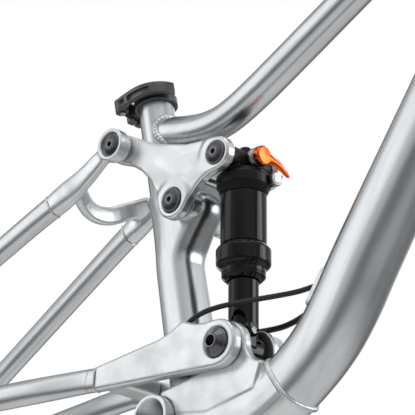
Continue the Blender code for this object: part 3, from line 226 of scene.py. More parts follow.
class Finish:
    """A surface finish under construction: each call adds nodes before the shader. Where
    no place is given, a pattern lies in plain Object coordinates."""

    def __init__(self, name, colour, roughness, metallic, **more):
        self.material = bpy.data.materials.new(name)
        self.material.use_nodes = True
        self.tree = self.material.node_tree
        self.shader = self.tree.nodes["Principled BSDF"]
        plain = {"Base Color": (*colour, 1.0), "Roughness": roughness, "Metallic": metallic}
        for socket, value in (plain | more).items():
            self.shader.inputs[socket.replace("_", " ")].default_value = value

    def place(self, stretch=(1.0, 1.0, 1.0), pitch=0.0):
        """Object coordinates turned about Y by the pitch, and then stretched."""
        where = new_node(self.tree, "TexCoord").outputs["Object"]
        pitched = new_node(self.tree, "Mapping", where, Rotation=(0.0, pitch, 0.0))
        return new_node(self.tree, "Mapping", pitched.outputs[0], Scale=stretch).outputs[0]

    def cloud(self, scale, detail, low=0.0, high=1.0, place=None):
        """A soft noise, spread from low to high."""
        if place is None:
            place = self.place()
        noise = new_node(self.tree, "TexNoise", Vector=place, Scale=scale, Detail=detail)
        return ranged(self.tree, noise.outputs["Fac"], 0.32, 0.68, low, high)

    def pits(self, scale):
        """Rounded grains, as shot leaves them."""
        cells = new_node(self.tree, "TexVoronoi", Vector=self.place(), Scale=scale)
        return ranged(self.tree, cells.outputs["Distance"], 0.0, 1.0, 0.0, 1.0)

    def relief(self, depth, strength, scale, detail=None, place=None):
        """Bumps laid over the bumps before them: a noise of some detail, or else pits."""
        height = self.pits(scale) if detail is None else self.cloud(scale, detail, place=place)
        bump = new_node(self.tree, "Bump", Strength=strength, Distance=depth, Height=height)
        normal = self.shader.inputs["Normal"]
        if normal.is_linked:
            self.tree.links.new(normal.links[0].from_socket, bump.inputs["Normal"])
        self.tree.links.new(bump.outputs[0], normal)
        return self

    def tint(self, first, second, scale, detail, place=None):
        """Base colour that drifts between two tones."""
        mix = new_node(self.tree, "Mix", self.cloud(scale, detail, place=place))
        mix.data_type = "RGBA"
        mix.inputs[6].default_value = (*first, 1.0)
        mix.inputs[7].default_value = (*second, 1.0)
        self.tree.links.new(mix.outputs[2], self.shader.inputs["Base Color"])
        return self

    def gloss(self, low, high, scale, detail, place=None):
        """Roughness that drifts from low to high."""
        drift = self.cloud(scale, detail, low, high, place)
        self.tree.links.new(drift, self.shader.inputs["Roughness"])
        return self


def brushed(name, pitch):
    """Bright tube finish: a fine grain along the tube, faint streaks and a gloss coat."""
    made = Finish(name, (0.66, 0.67, 0.68), 0.28, 1.0, Coat_Weight=0.5, Coat_Roughness=0.16)
    along = made.place((1.0, 22.0, 22.0), pitch)
    made.relief(0.00004, 0.07, 40.0, 1.0, along)
    made.gloss(0.27, 0.32, 20.0, 2.0, along)
    made.tint((0.62, 0.635, 0.645), (0.70, 0.715, 0.725), 14.0, 2.0,
              made.place((1.0, 9.0, 9.0), pitch))
    return made.material


def round_turn(columns):
    """Even angles once round."""
    return 2 * pi * np.arange(columns) / columns


def superellipse(columns, power):
    """u and v of |u|^n + |v|^n = 1 round a turn, for each power n."""
    c, s = np.cos(round_turn(columns)), np.sin(round_turn(columns))
    return np.sign(c) * np.abs(c) ** (2 / power), np.sign(s) * np.abs(s) ** (2 / power)


def smooth_route(points, per_span):
    """A curve through points: on each span a cubic in t takes its values from the middle
    two of four points, and its slopes from half of the distance between their neighbours."""
    p = np.asarray(points, float)
    p = np.vstack([2 * p[0] - p[1], p, 2 * p[-1] - p[-2]])
    a, b, c, d = (p[i:len(p) - 3 + i, None, :] for i in range(4))
    t = (np.arange(per_span) / per_span)[None, :, None]
    curve = 0.5 * (2 * b + (c - a) * t + (2 * a - 5 * b + 4 * c - d) * t * t
                   + (3 * b - 3 * c + d - a) * t ** 3)
    return np.vstack([curve.reshape(-1, p.shape[1]), p[-2]])


def unit(vectors):
    vectors = np.asarray(vectors, float)
    return vectors / np.linalg.norm(vectors, axis=-1, keepdims=True)


def surface(name, grid, finish, rings=False, sharp=38.0):
    """A mesh through a grid of points, rows by columns. Every row closes on itself. With
    rings, the last row joins the first, as in a tube with a wall; without, a fan of
    triangles closes each end row to its middle. The sum of the signed tetrahedra from
    the origin tells whether the faces point outwards, and turns them if not."""
    rows, columns = grid.shape[:2]
    points = grid.reshape(-1, 3)
    here = np.arange(rows * columns).reshape(rows, columns)
    beside = np.roll(here, -1, axis=1)
    above, above_beside = np.roll(here, -1, axis=0), np.roll(beside, -1, axis=0)
    last = rows if rings else rows - 1
    quads = np.stack([here, beside, above_beside, above], axis=-1)[:last].reshape(-1, 4)
    fans = np.empty((0, 3), int)
    if not rings:
        ends = np.stack([grid[0].mean(axis=0), grid[-1].mean(axis=0)])
        points = np.vstack([points, ends])
        low = np.stack([beside[0], here[0], np.full(columns, rows * columns)], axis=-1)
        high = np.stack([here[-1], beside[-1], np.full(columns, rows * columns + 1)], axis=-1)
        fans = np.vstack([low, high])
    flat = np.vstack([quads[:, [0, 1, 2]], quads[:, [0, 2, 3]], fans])
    a, b, c = (points[flat[:, i]] for i in range(3))
    if np.einsum("ij,ij->", a, np.cross(b, c)) < 0:
        quads, fans = quads[:, ::-1], fans[:, ::-1]
    mesh = bpy.data.meshes.new(name)
    mesh.from_pydata(points.tolist(), [], quads.tolist() + fans.tolist())
    mesh.polygons.foreach_set("use_smooth", np.ones(len(mesh.polygons), bool))
    mesh.materials.append(finish)
    mesh.set_sharp_from_angle(angle=radians(sharp))
    mesh.update()
    return placed(name, mesh)


def fit(piece, body, slot, *nodes):
    """Fixes a finished piece to a body, in place of the plain solids that it stands for."""
    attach(piece, body)
    if nodes:
        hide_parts(*nodes)


pivot = {joint["name"]: np.array(joint.get("pos_m", (0, 0, 0))) for joint in frame["joints"]}
LEFT = np.array([0.0, 1.0, 0.0])
SEAT_ANGLE = radians(74.5)
SEAT_TOP = np.array([-0.0606, 0.0, 0.3280])
SEAT_UP = np.array([-cos(SEAT_ANGLE), 0.0, sin(SEAT_ANGLE)])
SEAT_AHEAD = np.array([sin(SEAT_ANGLE), 0.0, cos(SEAT_ANGLE)])
SEAT_TUBE_R = 0.01745
SEAT_BORE_R = 0.01545
SEAT_BORE_FLOOR = 0.0600
MOUTH_WIDER, MOUTH_DEPTH = 0.0006, 0.0010
LOBE_SQUARENESS, LOBE_SQUARE_AT = 0.9, 0.006
# Height, reach ahead of the axis, reach behind it and half width of each station.
SEAT_STATIONS = [
    (0.0325, 0.0240, 0.0200, 0.0218), (0.0920, 0.0236, 0.0192, 0.0214),
    (0.1410, 0.0233, 0.0184, 0.0208), (0.1520, 0.0236, 0.0181, 0.0206),
    (0.1600, 0.0268, 0.0178, 0.0205), (0.1710, 0.0366, 0.01745, 0.0205),
    (0.1860, 0.0505, 0.01745, 0.0205), (0.1940, 0.0545, 0.01745, 0.0205),
    (0.2010, 0.0550, 0.01745, 0.0205), (0.2080, 0.0520, 0.01745, 0.0200),
    (0.2140, 0.0445, 0.01745, 0.0195), (0.2185, 0.0360, 0.01745, 0.0190),
    (0.2230, 0.0270, 0.01745, 0.0183), (0.2280, 0.0205, 0.01745, 0.0177),
    (0.2340, 0.01745, 0.01745, 0.01745), (0.2800, 0.01745, 0.01745, 0.01745),
    (0.3280, 0.01745, 0.01745, 0.01745)]


def seat_axis(level):
    """Points of the seat tube's axis at given heights."""
    rise = (np.asarray(level, float) - SEAT_TOP[2]) / SEAT_UP[2]
    return SEAT_TOP + SEAT_UP * rise[..., None]


def seat_tube_grid(columns=112):
    """Stations of the formed tube: a superellipse from the back of the tube to its reach,
    with the power 2 where it is round, and up to 2.9 where it has flat sides and a flat
    front. The bore comes back down inside as rows of circles, a little wider at its mouth."""
    level, *sizes = smooth_route(SEAT_STATIONS, 8).T
    reach, behind, half_width = np.maximum(sizes, SEAT_TUBE_R)
    squareness = np.clip((reach - SEAT_TUBE_R) / LOBE_SQUARE_AT, 0, 1)
    u, v = superellipse(columns, 2.0 + LOBE_SQUARENESS * squareness[:, None])
    u = u * ((reach + behind) / 2)[:, None]
    v = v * half_width[:, None]
    middle = seat_axis(level) + SEAT_AHEAD * ((reach - behind) / 2)[:, None]
    outside = middle[:, None] + SEAT_AHEAD * u[..., None] + LEFT * v[..., None]
    inner_z = np.concatenate([[SEAT_TOP[2], SEAT_TOP[2] - MOUTH_DEPTH],
                              np.linspace(SEAT_TOP[2] - 0.004, SEAT_BORE_FLOOR, 30)])
    inner_r = np.full(len(inner_z), SEAT_BORE_R)
    inner_r[0] += MOUTH_WIDER
    turn = round_turn(columns)
    round_row = SEAT_AHEAD * np.cos(turn)[:, None] + LEFT * np.sin(turn)[:, None]
    inside = seat_axis(inner_z)[:, None] + round_row[None] * inner_r[:, None, None]
    return np.vstack([outside, inside])


def discard(*pieces):
    for piece in pieces:
        bpy.data.objects.remove(piece)


def rounded_bar(name, along, wide, tall, centre, axes, finish):
    """A bar with a stadium's outline: its three sizes, its centre, and the directions of
    its length, width and height. Two half circles of half the width end it."""
    turn = round_turn(48)
    straight = max(along - wide, 0.0) / 2
    x = np.cos(turn) * wide / 2 + np.sign(np.cos(turn)) * straight
    y = np.sin(turn) * wide / 2
    z = np.linspace(-tall / 2, tall / 2, 24)
    first, second, third = (np.asarray(axis, float) for axis in axes)
    flat_ring = first * x[:, None] + second * y[:, None]
    grid = np.asarray(centre, float) + flat_ring[None] + third * z[:, None, None]
    return surface(name, grid, finish)


def settle(piece):
    """Gives a piece the mesh that its modifiers show, and drops them."""
    bpy.context.view_layer.update()
    ready = piece.evaluated_get(bpy.context.evaluated_depsgraph_get())
    mesh = bpy.data.meshes.new_from_object(ready)
    piece.modifiers.clear()
    piece.data = mesh
    return mesh


def less(piece, *cutters):
    """Takes solids away from a piece, exactly, and throws the cutters away."""
    for cutter in cutters:
        step = piece.modifiers.new("cut", "BOOLEAN")
        step.operation = "DIFFERENCE"
        step.solver = "EXACT"
        step.object = cutter
    settle(piece)
    discard(*cutters)
    return piece


SLIT_LENGTH, SLIT_WIDTH, SLIT_DEPTH = 0.060, 0.0030, 0.016
SEAT_FINISH = brushed("brushed_seat_tube", radians(105.5))
seat_tube = surface("seat_tube_drawn", seat_tube_grid(), SEAT_FINISH)
clamp_slit = rounded_bar("clamp_slit", SLIT_LENGTH, SLIT_WIDTH, SLIT_DEPTH,
                         SEAT_TOP - SEAT_AHEAD * SEAT_TUBE_R,
                         (SEAT_UP, LEFT, SEAT_AHEAD), SEAT_FINISH)
fit(less(seat_tube, clamp_slit), "front_triangle", "raw_tube", "seat_tube")

# ------------------------------ top tube
# A formed tube that leaves the seat tube level, bends up through a soft knee and meets
# the head tube. Both ends are mitred to the round tubes, and run into a welded bead.


def eased(stops, share):
    """Values at shares of the length: between two stops, a share s of the way becomes
    s * s * (3 - 2 s). A plain number stays the same all the way."""
    if np.isscalar(stops):
        return np.full(len(share), float(stops))
    at, value = np.array(stops, float).T
    k = np.clip(np.searchsorted(at, share) - 1, 0, len(at) - 2)
    s = np.clip((share - at[k]) / (at[k + 1] - at[k]), 0, 1)
    return value[k] + (value[k + 1] - value[k]) * s * s * (3 - 2 * s)


def step_lengths(line):
    return np.linalg.norm(np.diff(line, axis=0), axis=1)


def swept(route, half_up, half_side, power, columns=96, inset=0.0, across=LEFT,
          ends=(None, None)):
    """Superellipses |u/a|^n + |v/b|^n = 1 square to a route. The sizes a, b and the power
    n are stops along its length; an end may be square to a direction of its own."""
    ahead = np.gradient(route, axis=0)
    for row, own in ((0, ends[0]), (-1, ends[1])):
        if own is not None:
            ahead[row] = own
    ahead = unit(ahead)
    steps = step_lengths(route)
    share = np.concatenate([[0.0], np.cumsum(steps)]) / steps.sum()
    side = unit(across - ahead * (ahead @ across)[:, None])
    up = np.cross(ahead, side)
    up *= np.where(up[:, 2:] > 0, 1.0, -1.0)
    u, v = superellipse(columns, eased(power, share)[:, None])
    u = u * (eased(half_up, share) - inset)[:, None]
    v = v * (eased(half_side, share) - inset)[:, None]
    return route[:, None] + up[:, None] * u[..., None] + side[:, None] * v[..., None]


def outside_bar(point, axis, radius):
    """A measure of points: their distance from a straight axis, less a radius."""
    def measure(points):
        off = points - point
        off = off - axis * (off @ axis)[..., None]
        return np.linalg.norm(off, axis=-1) - radius
    return measure


def first_outside(measure, grid):
    """For each column, the row number, with its fraction, where it leaves the bar."""
    distance = measure(grid)
    row = np.maximum(np.argmax(distance >= 0, axis=0) - 1, 0)[None]
    a = np.take_along_axis(distance, row, 0)[0]
    b = np.take_along_axis(distance, row + 1, 0)[0]
    return np.where(a < 0, row[0] + a / (a - b), 0.0)


def mitred(grid, start=None, end=None):
    """Cuts a tube to the bars that it meets: each line along it is drawn again between
    its two crossings, in even steps."""
    top = len(grid) - 1
    low = first_outside(start, grid) if start else np.zeros(grid.shape[1])
    high = top - first_outside(end, grid[::-1]) if end else np.full(grid.shape[1], top)
    at = low + (high - low) * np.linspace(0, 1, len(grid))[:, None]
    row = np.clip(np.floor(at).astype(int), 0, top - 1)
    share = (at - row)[..., None]
    here = np.take_along_axis(grid, np.repeat(row[..., None], 3, 2), 0)
    ahead = np.take_along_axis(grid, np.repeat(row[..., None] + 1, 3, 2), 0)
    return here * (1 - share) + ahead * share


def bead(loop, size, pitch=0.0026, columns=16):
    """A dressed weld: circles carried round a closed line. Their radius rises and falls
    once a ripple, as size times (0.93 + 0.07 |sin|) of the way round."""
    closed = np.vstack([loop, loop[:1]])
    run = np.concatenate([[0.0], np.cumsum(step_lengths(closed))])
    ripples = max(8, round(run[-1] / pitch))
    at = np.linspace(0, run[-1], ripples * 8, endpoint=False)
    line = np.stack([np.interp(at, run, closed[:, i]) for i in range(3)], axis=1)
    ahead = unit(np.roll(line, -1, axis=0) - np.roll(line, 1, axis=0))
    out = line - line.mean(axis=0)
    out = unit(out - ahead * np.einsum("ij,ij->i", out, ahead)[:, None])
    third = np.cross(ahead, out)
    swell = size * (0.93 + 0.07 * np.abs(np.sin(pi * at * ripples / run[-1])))
    turn = round_turn(columns)
    ring = (out[:, None] * np.cos(turn)[None, :, None]
            + third[:, None] * np.sin(turn)[None, :, None])
    return line[:, None] + ring * swell[:, None, None]


WELD = Finish("weld_metal", (0.74, 0.75, 0.76), 0.34, 1.0, Coat_Weight=0.6,
              Coat_Roughness=0.15)
WELD = WELD.relief(0.0003, 0.5, 420.0, 2.0).gloss(0.28, 0.45, 130.0, 2.0).material


def weld(name, body, loop, size, *ripple):
    """A bead along a closed line, fixed to a body."""
    fit(surface(f"weld_{name}", bead(loop, size, *ripple), WELD, True), body, "raw_tube")


HEAD_ANGLE = radians(67.0)
HEAD_TOP = np.array([0.4066, 0.0, 0.5642])
HEAD_DOWN = np.array([cos(HEAD_ANGLE), 0.0, -sin(HEAD_ANGLE)])
HEAD_WAIST_R = 0.0245
TUBE_WALL = 0.0022
TOP_TUBE_BELOW_HEAD, DOWN_TUBE_BELOW_HEAD = 0.0210, 0.0557
TOP_TUBE_BEND = [(-0.0320, 0.2915), (-0.0100, 0.2895), (0.0120, 0.2895), (0.0325, 0.2935),
                 (0.0530, 0.3025), (0.0750, 0.3155), (0.0960, 0.3290)]
TOP_TUBE_HALF = [(0, 0.0168), (0.2, 0.0145), (0.7, 0.0148), (1, 0.0180)]
TOP_TUBE_SIDE = [(0, 0.0155), (0.25, 0.0155), (0.7, 0.0158), (1, 0.0180)]
TOP_TUBE_POWER = [(0, 2.1), (0.3, 2.5), (1, 2.3)]


def flat_route(start, bend, end, shares):
    """A start, bends in the middle plane, and a straight run to the end."""
    bend = np.array([(x, 0.0, z) for x, z in bend])
    run = bend[-1] + (end - bend[-1]) * np.array(shares)[:, None]
    return np.vstack([start, bend, run])


seat_miss = outside_bar(SEAT_TOP, SEAT_UP, SEAT_TUBE_R)
head_miss = outside_bar(HEAD_TOP, HEAD_DOWN, HEAD_WAIST_R)
top_tube_end = HEAD_TOP + HEAD_DOWN * (TOP_TUBE_BELOW_HEAD / sin(HEAD_ANGLE))
top_tube_route = smooth_route(
    flat_route(seat_axis(0.2935), TOP_TUBE_BEND, top_tube_end, (0.35, 0.7, 1.0)), 14)


def hollow(node, pitch, route, sizes, start, ends=(None, None)):
    """Fixes a mitred tube with its wall, and gives its outer grid: the inner one, smaller
    by the wall, comes back inside it."""
    outer, inner = (mitred(swept(route, *sizes, inset=inset, ends=ends), start, head_miss)
                    for inset in (0.0, TUBE_WALL))
    tube = surface(f"{node}_drawn", np.vstack([outer, inner[::-1]]),
                   brushed(f"brushed_{node}", radians(pitch)), True)
    fit(tube, "front_triangle", "raw_tube", node)
    return outer


skin = hollow("top_tube", 32.0, top_tube_route,
              (TOP_TUBE_HALF, TOP_TUBE_SIDE, TOP_TUBE_POWER), seat_miss)
weld("seat_tube_to_top_tube", "front_triangle", skin[0], 0.0034, 0.0036)
weld("top_tube_to_head_tube", "front_triangle", skin[-1], 0.0032)

# ------------------------------ down tube
# The largest tube: a rounded box that springs from the forging at the bottom bracket,
# turns up in a tight knee and narrows to the head tube.

NECK_END = np.array([0.1410, 0.0, 0.0220])
NECK_DIRECTION = np.array([0.788, 0.0, 0.616])
DOWN_TUBE_BEND = [(0.1560, 0.0342), (0.1715, 0.0490), (0.1870, 0.0680), (0.2030, 0.0945),
                  (0.2250, 0.1370)]
DOWN_TUBE_HALF = [(0, 0.0290), (0.2, 0.0300), (0.7, 0.0290), (1, 0.0245)]
DOWN_TUBE_SIDE = [(0, 0.0250), (0.2, 0.0275), (0.7, 0.0260), (1, 0.0218)]
DOWN_TUBE_POWER = [(0, 2.8), (0.6, 2.6), (1, 2.2)]
down_tube_end = HEAD_TOP + HEAD_DOWN * (DOWN_TUBE_BELOW_HEAD / sin(HEAD_ANGLE))
down_tube_start = np.vstack([NECK_END, NECK_END + NECK_DIRECTION * 0.006])
down_tube_route = smooth_route(
    flat_route(down_tube_start, DOWN_TUBE_BEND, down_tube_end, (0.3, 0.65, 1.0)), 14)
skin = hollow("down_tube", 63.0, down_tube_route,
              (DOWN_TUBE_HALF, DOWN_TUBE_SIDE, DOWN_TUBE_POWER), None, (NECK_DIRECTION, None))
weld("down_tube_to_head_tube", "front_triangle", skin[-1], 0.0032)
weld("down_tube_to_forging", "front_triangle", skin[0], 0.0028)

# ------------------------------ head tube
# A turned tube with a flared top and a wider foot, for a tapered fork's two headset
# cups, which are pressed into its bores.


def eased_corners(points, radius, steps=5, closed=False):
    """Rounds the corners of a line: each is cut back by the radius along both sides, and a
    parabola bridges the cut."""
    p = np.asarray(points, float)
    before, after = np.roll(p, 1, axis=0) - p, np.roll(p, -1, axis=0) - p
    lb = np.linalg.norm(before, axis=1, keepdims=True)
    la = np.linalg.norm(after, axis=1, keepdims=True)
    a = p + before * np.minimum(radius / lb, 0.45)
    c = p + after * np.minimum(radius / la, 0.45)
    t = np.linspace(0, 1, steps)[None, :, None]
    curve = (1 - t) ** 2 * a[:, None] + 2 * t * (1 - t) * p[:, None] + t * t * c[:, None]
    if closed:
        return curve.reshape(-1, 2)
    return np.vstack([p[:1], curve[1:-1].reshape(-1, 2), p[-1:]])


def turned(profile, centre, axis, columns=96, lobes=None):
    """A profile of (radius, height) turned about an axis. Lobes, one per row and column,
    multiply the radius, for flats and knurls."""
    axis = unit(axis)
    aside = LEFT if abs(axis[1]) < 0.9 else np.array([1.0, 0.0, 0.0])
    first = unit(np.cross(aside, axis))
    second = np.cross(axis, first)
    turn = round_turn(columns)
    ring = first * np.cos(turn)[:, None] + second * np.sin(turn)[:, None]
    radius, height = np.asarray(profile, float).T
    spread = np.repeat(radius[:, None], columns, axis=1)
    if lobes is not None:
        spread = spread * lobes
    return (np.asarray(centre, float) + axis * height[:, None, None]
            + ring[None] * spread[..., None])


HEAD_LENGTH, HEAD_FLARE = 0.124, 0.016
HEAD_TOP_R, HEAD_FOOT_R, UPPER_CUP_R, LOWER_CUP_R = 0.0265, 0.0315, 0.0219, 0.0278
head_outline = [(UPPER_CUP_R, 0.0), (HEAD_TOP_R, 0.0), (HEAD_TOP_R, HEAD_FLARE * 0.5),
                (HEAD_WAIST_R, HEAD_FLARE), (HEAD_WAIST_R, HEAD_LENGTH - 2 * HEAD_FLARE),
                (HEAD_FOOT_R, HEAD_LENGTH - HEAD_FLARE), (HEAD_FOOT_R, HEAD_LENGTH),
                (LOWER_CUP_R, HEAD_LENGTH), (LOWER_CUP_R, HEAD_LENGTH - HEAD_FLARE),
                (UPPER_CUP_R, HEAD_LENGTH - 2 * HEAD_FLARE)]
head_tube = surface(
    "head_tube_turned",
    turned(eased_corners(head_outline, 0.004, 6, True), HEAD_TOP, HEAD_DOWN, 112),
    brushed("brushed_head_tube", -HEAD_ANGLE), True)
fit(head_tube, "front_triangle", "raw_tube", "head_tube")

# ------------------------------ bottom bracket shell
# A turned sleeve, threaded inside for the bottom bracket's cups and faced at both ends.

BB_HALF_WIDTH, BB_R, BB_BORE_R = 0.0365, 0.0215, 0.0173
THREAD_PITCH, THREAD_DEPTH, BB_EDGE, BB_LEAD = 0.00106, 0.0002, 0.0007, 0.0010


def shell_profile():
    """Outside with broken edges, then a thread: a sine of one pitch on the bore."""
    across = np.linspace(BB_HALF_WIDTH - BB_LEAD, -BB_HALF_WIDTH + BB_LEAD, 300)
    thread = BB_BORE_R + THREAD_DEPTH * np.sin(2 * pi * across / THREAD_PITCH)
    outside = [(BB_R - BB_EDGE, -BB_HALF_WIDTH), (BB_R, -BB_HALF_WIDTH + BB_EDGE),
               (BB_R, BB_HALF_WIDTH - BB_EDGE), (BB_R - BB_EDGE, BB_HALF_WIDTH),
               (BB_BORE_R + BB_LEAD, BB_HALF_WIDTH)]
    return np.vstack([outside, np.stack([thread, across], axis=1),
                      [(BB_BORE_R + BB_LEAD, -BB_HALF_WIDTH)]])


bb_shell = surface("bottom_bracket_shell_turned",
                   turned(shell_profile(), (0, 0, 0), LEFT, 72),
                   brushed("faced_shell", radians(90.0)), True)
fit(bb_shell, "front_triangle", "raw_tube", "bottom_bracket_shell")

# ------------------------------ main pivot forging
# One hollow forging joins the bottom bracket, the foot of the seat tube, the two ears of
# the main pivot and the neck of the down tube. Its edges are rounded and it is satin.


def satin(name, colour, roughness, coat):
    """Forged aluminium, blasted and clear coated: fine pits and cloudy gloss."""
    made = Finish(name, colour, roughness, 1.0, Coat_Weight=coat, Coat_Roughness=0.16)
    made.relief(0.00018, 0.35, 900.0).relief(0.0006, 0.25, 60.0, 2.0)
    made.gloss(roughness - 0.05, roughness + 0.10, 34.0, 3.0)
    return made.tint([c * 0.92 for c in colour], colour, 18.0, 3.0).material


def softened(sources, name, finish, voxel, rounds, cutters=()):
    """A forging from closed solids: cutters are taken away, an even skin is laid over all,
    and each point moves half way to the middle of its neighbours, round after round."""
    merged = bmesh.new()
    for source in sources:
        merged.from_mesh(source.data)
    bmesh.ops.remove_doubles(merged, verts=merged.verts, dist=2e-6)
    plain = bpy.data.meshes.new(name)
    merged.to_mesh(plain)
    merged.free()
    work = placed(name, plain)
    if cutters:
        less(work, *cutters)
    skin_step = work.modifiers.new("even_skin", "REMESH")
    skin_step.mode = "VOXEL"
    skin_step.voxel_size = voxel
    rub = work.modifiers.new("rub_edges", "SMOOTH")
    rub.iterations = rounds
    rub.factor = 0.5
    mesh = settle(work)
    mesh.name = name
    mesh.materials.clear()
    mesh.materials.append(finish)
    mesh.polygons.foreach_set("use_smooth", np.ones(len(mesh.polygons), bool))
    mesh.polygons.foreach_set("material_index", np.zeros(len(mesh.polygons), np.int32))
    mesh.update()
    return work


solid = frame["nodes"]
FORGED = satin("forged_satin", (0.82, 0.835, 0.84), 0.34, 0.5)


def shaped(node, body, voxel, rounds, how="forged", finish=FORGED, slot="forging", cutters=()):
    """Fixes the softened solid of a node to its body."""
    piece = softened([solid[node]], f"{node}_{how}", finish, voxel, rounds, cutters)
    fit(piece, body, slot, node)


shaped("main_pivot_forging", "front_triangle", 0.0009, 16, "satin")

# ------------------------------ swingarm
# Two forged arms hold the main pivot's bearings, and a bar joins them behind the seat
# tube. The chainstays are drawn tubes, welded to the arms and to the dropouts.

SIDES = (("right", -1), ("left", 1))
for side, sign in SIDES:
    shaped(f"swingarm_arm_{side}", "rear_triangle", 0.0009, 22)
shaped("swingarm_bridge", "rear_triangle", 0.0009, 12)

ARM_MIDDLE = 0.03215
DROPOUT_MIDDLE = 0.0785
CHAINSTAY_RUN = [(-0.0750, ARM_MIDDLE, 0.0450), (-0.0833, ARM_MIDDLE, 0.0450),
                 (-0.0913, ARM_MIDDLE, 0.0450), (-0.1250, 0.0370, 0.0425),
                 (-0.1700, 0.0450, 0.0385), (-0.2400, 0.0560, 0.0320),
                 (-0.3300, 0.0690, 0.0220), (-0.3750, 0.0780, 0.0160),
                 (-0.3950, DROPOUT_MIDDLE, 0.0150), (-0.4050, DROPOUT_MIDDLE, 0.0150)]
CHAINSTAY_HALF = [(0, 0.0115), (0.3, 0.0125), (1, 0.0100)]
CHAINSTAY_SIDE = [(0, 0.0062), (0.25, 0.0085), (0.8, 0.0080), (1, 0.0045)]
STAY_POWER = [(0, 3.0), (0.3, 2.3), (1, 2.5)]
STAY_RIPPLE = (0.0022, 12)
STAY_FINISH = brushed("brushed_chainstay", radians(5.5))


def stay(node, body, skin):
    fit(surface(f"{node}_drawn", skin, STAY_FINISH), body, "raw_tube", node)


for side, sign in SIDES:
    route = smooth_route(np.array(CHAINSTAY_RUN) * (1, sign, 1), 12)
    skin = swept(route, CHAINSTAY_HALF, CHAINSTAY_SIDE, STAY_POWER, 72)
    stay(f"chainstay_{side}", "rear_triangle", skin)
    weld(f"chainstay_{side}_to_arm", "rear_triangle", skin[0], 0.0010, *STAY_RIPPLE)
    weld(f"chainstay_{side}_to_dropout", "rear_triangle", skin[-1], 0.0018, *STAY_RIPPLE)
    shaped(f"dropout_{side}", "rear_triangle", 0.0007, 8)
shaped("brake_mount", "rear_triangle", 0.0007, 8)

# ------------------------------ seatstays
# A forged yoke with two pivot bosses, two short arms and a bowed bridge; two drawn stays
# are welded to its arms, run past the wheel and bend a little at the dropouts.

shaped("seatstay_yoke", "seatstays", 0.0009, 14)
STAY_FLEX = np.array([-0.4180, 0.0, 0.0420])
STAY_SLOPE = radians(33.0)
STAY_BACK = np.array([-cos(STAY_SLOPE), 0.0, -sin(STAY_SLOPE)])
STAY_LOW = STAY_FLEX - STAY_BACK * 0.0005
STAY_RUN = [(-0.0729, 0.0500, 0.2627), (-0.0800, 0.0500, 0.2575), (-0.1000, 0.0505, 0.2420),
            (-0.1250, 0.0522, 0.2255), (-0.1700, 0.0570, 0.1985), (-0.3000, 0.0705, 0.1180)]
STAY_HALF = [(0, 0.0088), (0.06, 0.0105), (0.13, 0.0130), (0.2, 0.0118), (0.8, 0.0108),
             (1, 0.0100)]
STAY_SIDE = [(0, 0.0052), (0.08, 0.0060), (0.15, 0.0088), (0.8, 0.0085), (1, 0.0045)]
STAY_WELD_AT = 40
STAY_FINISH = brushed("brushed_seatstay", radians(31.0))
for side, sign in SIDES:
    foot = STAY_LOW - STAY_BACK * np.array([[0.024], [0.010], [0.0]]) + LEFT * DROPOUT_MIDDLE
    route = smooth_route(np.vstack([STAY_RUN, foot]) * (1, sign, 1), 12)
    skin = swept(route, STAY_HALF, STAY_SIDE, STAY_POWER, 72)[STAY_WELD_AT:]
    stay(f"seatstay_{side}", "seatstays", skin)
    weld(f"seatstay_{side}_to_yoke", "seatstays", skin[0], 0.0008, *STAY_RIPPLE)

# ------------------------------ rocker link
# A one-piece forging: two three-armed plates joined by a bar. It turns on the seat tube's
# lobe, pulls the seatstays at its rear arm and pushes the shock at its front arm.

LINK_BOSSES = np.array([(-0.0625, 0.2703), (0.0103, 0.2070), (0.0625, 0.2455)])
LINK_BOSS_R = np.array([0.0150, 0.0178, 0.0170])
LINK_RIDGES = [((-0.0480, 0.2640), (-0.0050, 0.2440)), ((-0.0050, 0.2440), (0.0100, 0.2330)),
               ((0.0100, 0.2330), (0.0480, 0.2330))]
LINK_FACE, LINK_WAIST, LINK_SLOPE = 0.0400, 0.0345, 0.14
RIDGE_ROUND, BORDER_WIDTH, SLOPE_WIDTH = 0.0030, 0.0080, 0.016


def off_line(flat, start, end):
    """Distances of points from a straight piece of a line, in one plane."""
    start, end = np.array(start), np.array(end)
    way = end - start
    share = np.clip((flat - start) @ way / (way @ way), 0, 1)[:, None]
    return np.linalg.norm(flat - start - way * share, axis=1)


def forge_relief(piece):
    """Presses the outer faces in: the depth grows with the distance from three soft ridges
    and fades out at the raised borders of the bosses. The step from 0 to 1 is eased."""
    mesh = piece.data
    place = np.empty(len(mesh.vertices) * 3)
    mesh.vertices.foreach_get("co", place)
    place = place.reshape(-1, 3)
    flat = place[:, [0, 2]]
    ridge = np.min([off_line(flat, *line) for line in LINK_RIDGES], axis=0)
    ridge = np.sqrt(ridge ** 2 + RIDGE_ROUND ** 2) - RIDGE_ROUND
    border = np.min(np.linalg.norm(flat[:, None] - LINK_BOSSES, axis=2) - LINK_BOSS_R, axis=1)
    web = np.clip(border / BORDER_WIDTH, 0, 1)
    web = web * web * (3 - 2 * web)
    face = np.clip((np.abs(place[:, 1]) - LINK_WAIST) / (LINK_FACE - LINK_WAIST), 0, 1)
    depth = LINK_SLOPE * np.minimum(ridge, SLOPE_WIDTH) * web * face
    place[:, 1] -= np.sign(place[:, 1]) * depth
    mesh.vertices.foreach_set("co", place.ravel())
    mesh.update()
    return piece


fit(forge_relief(softened([solid["rocker_link"]], "rocker_link_forged", FORGED, 0.0007, 26)),
    "rocker", "forging", "rocker_link")
shaped("rocker_pivot_housing", "front_triangle", 0.0007, 4, "turned")

# ------------------------------ pivot caps
# Turned and domed aluminium caps, black and polished, each with a socket for a hex key.
# They close the ends of the pivot axles and keep the bearings clean.

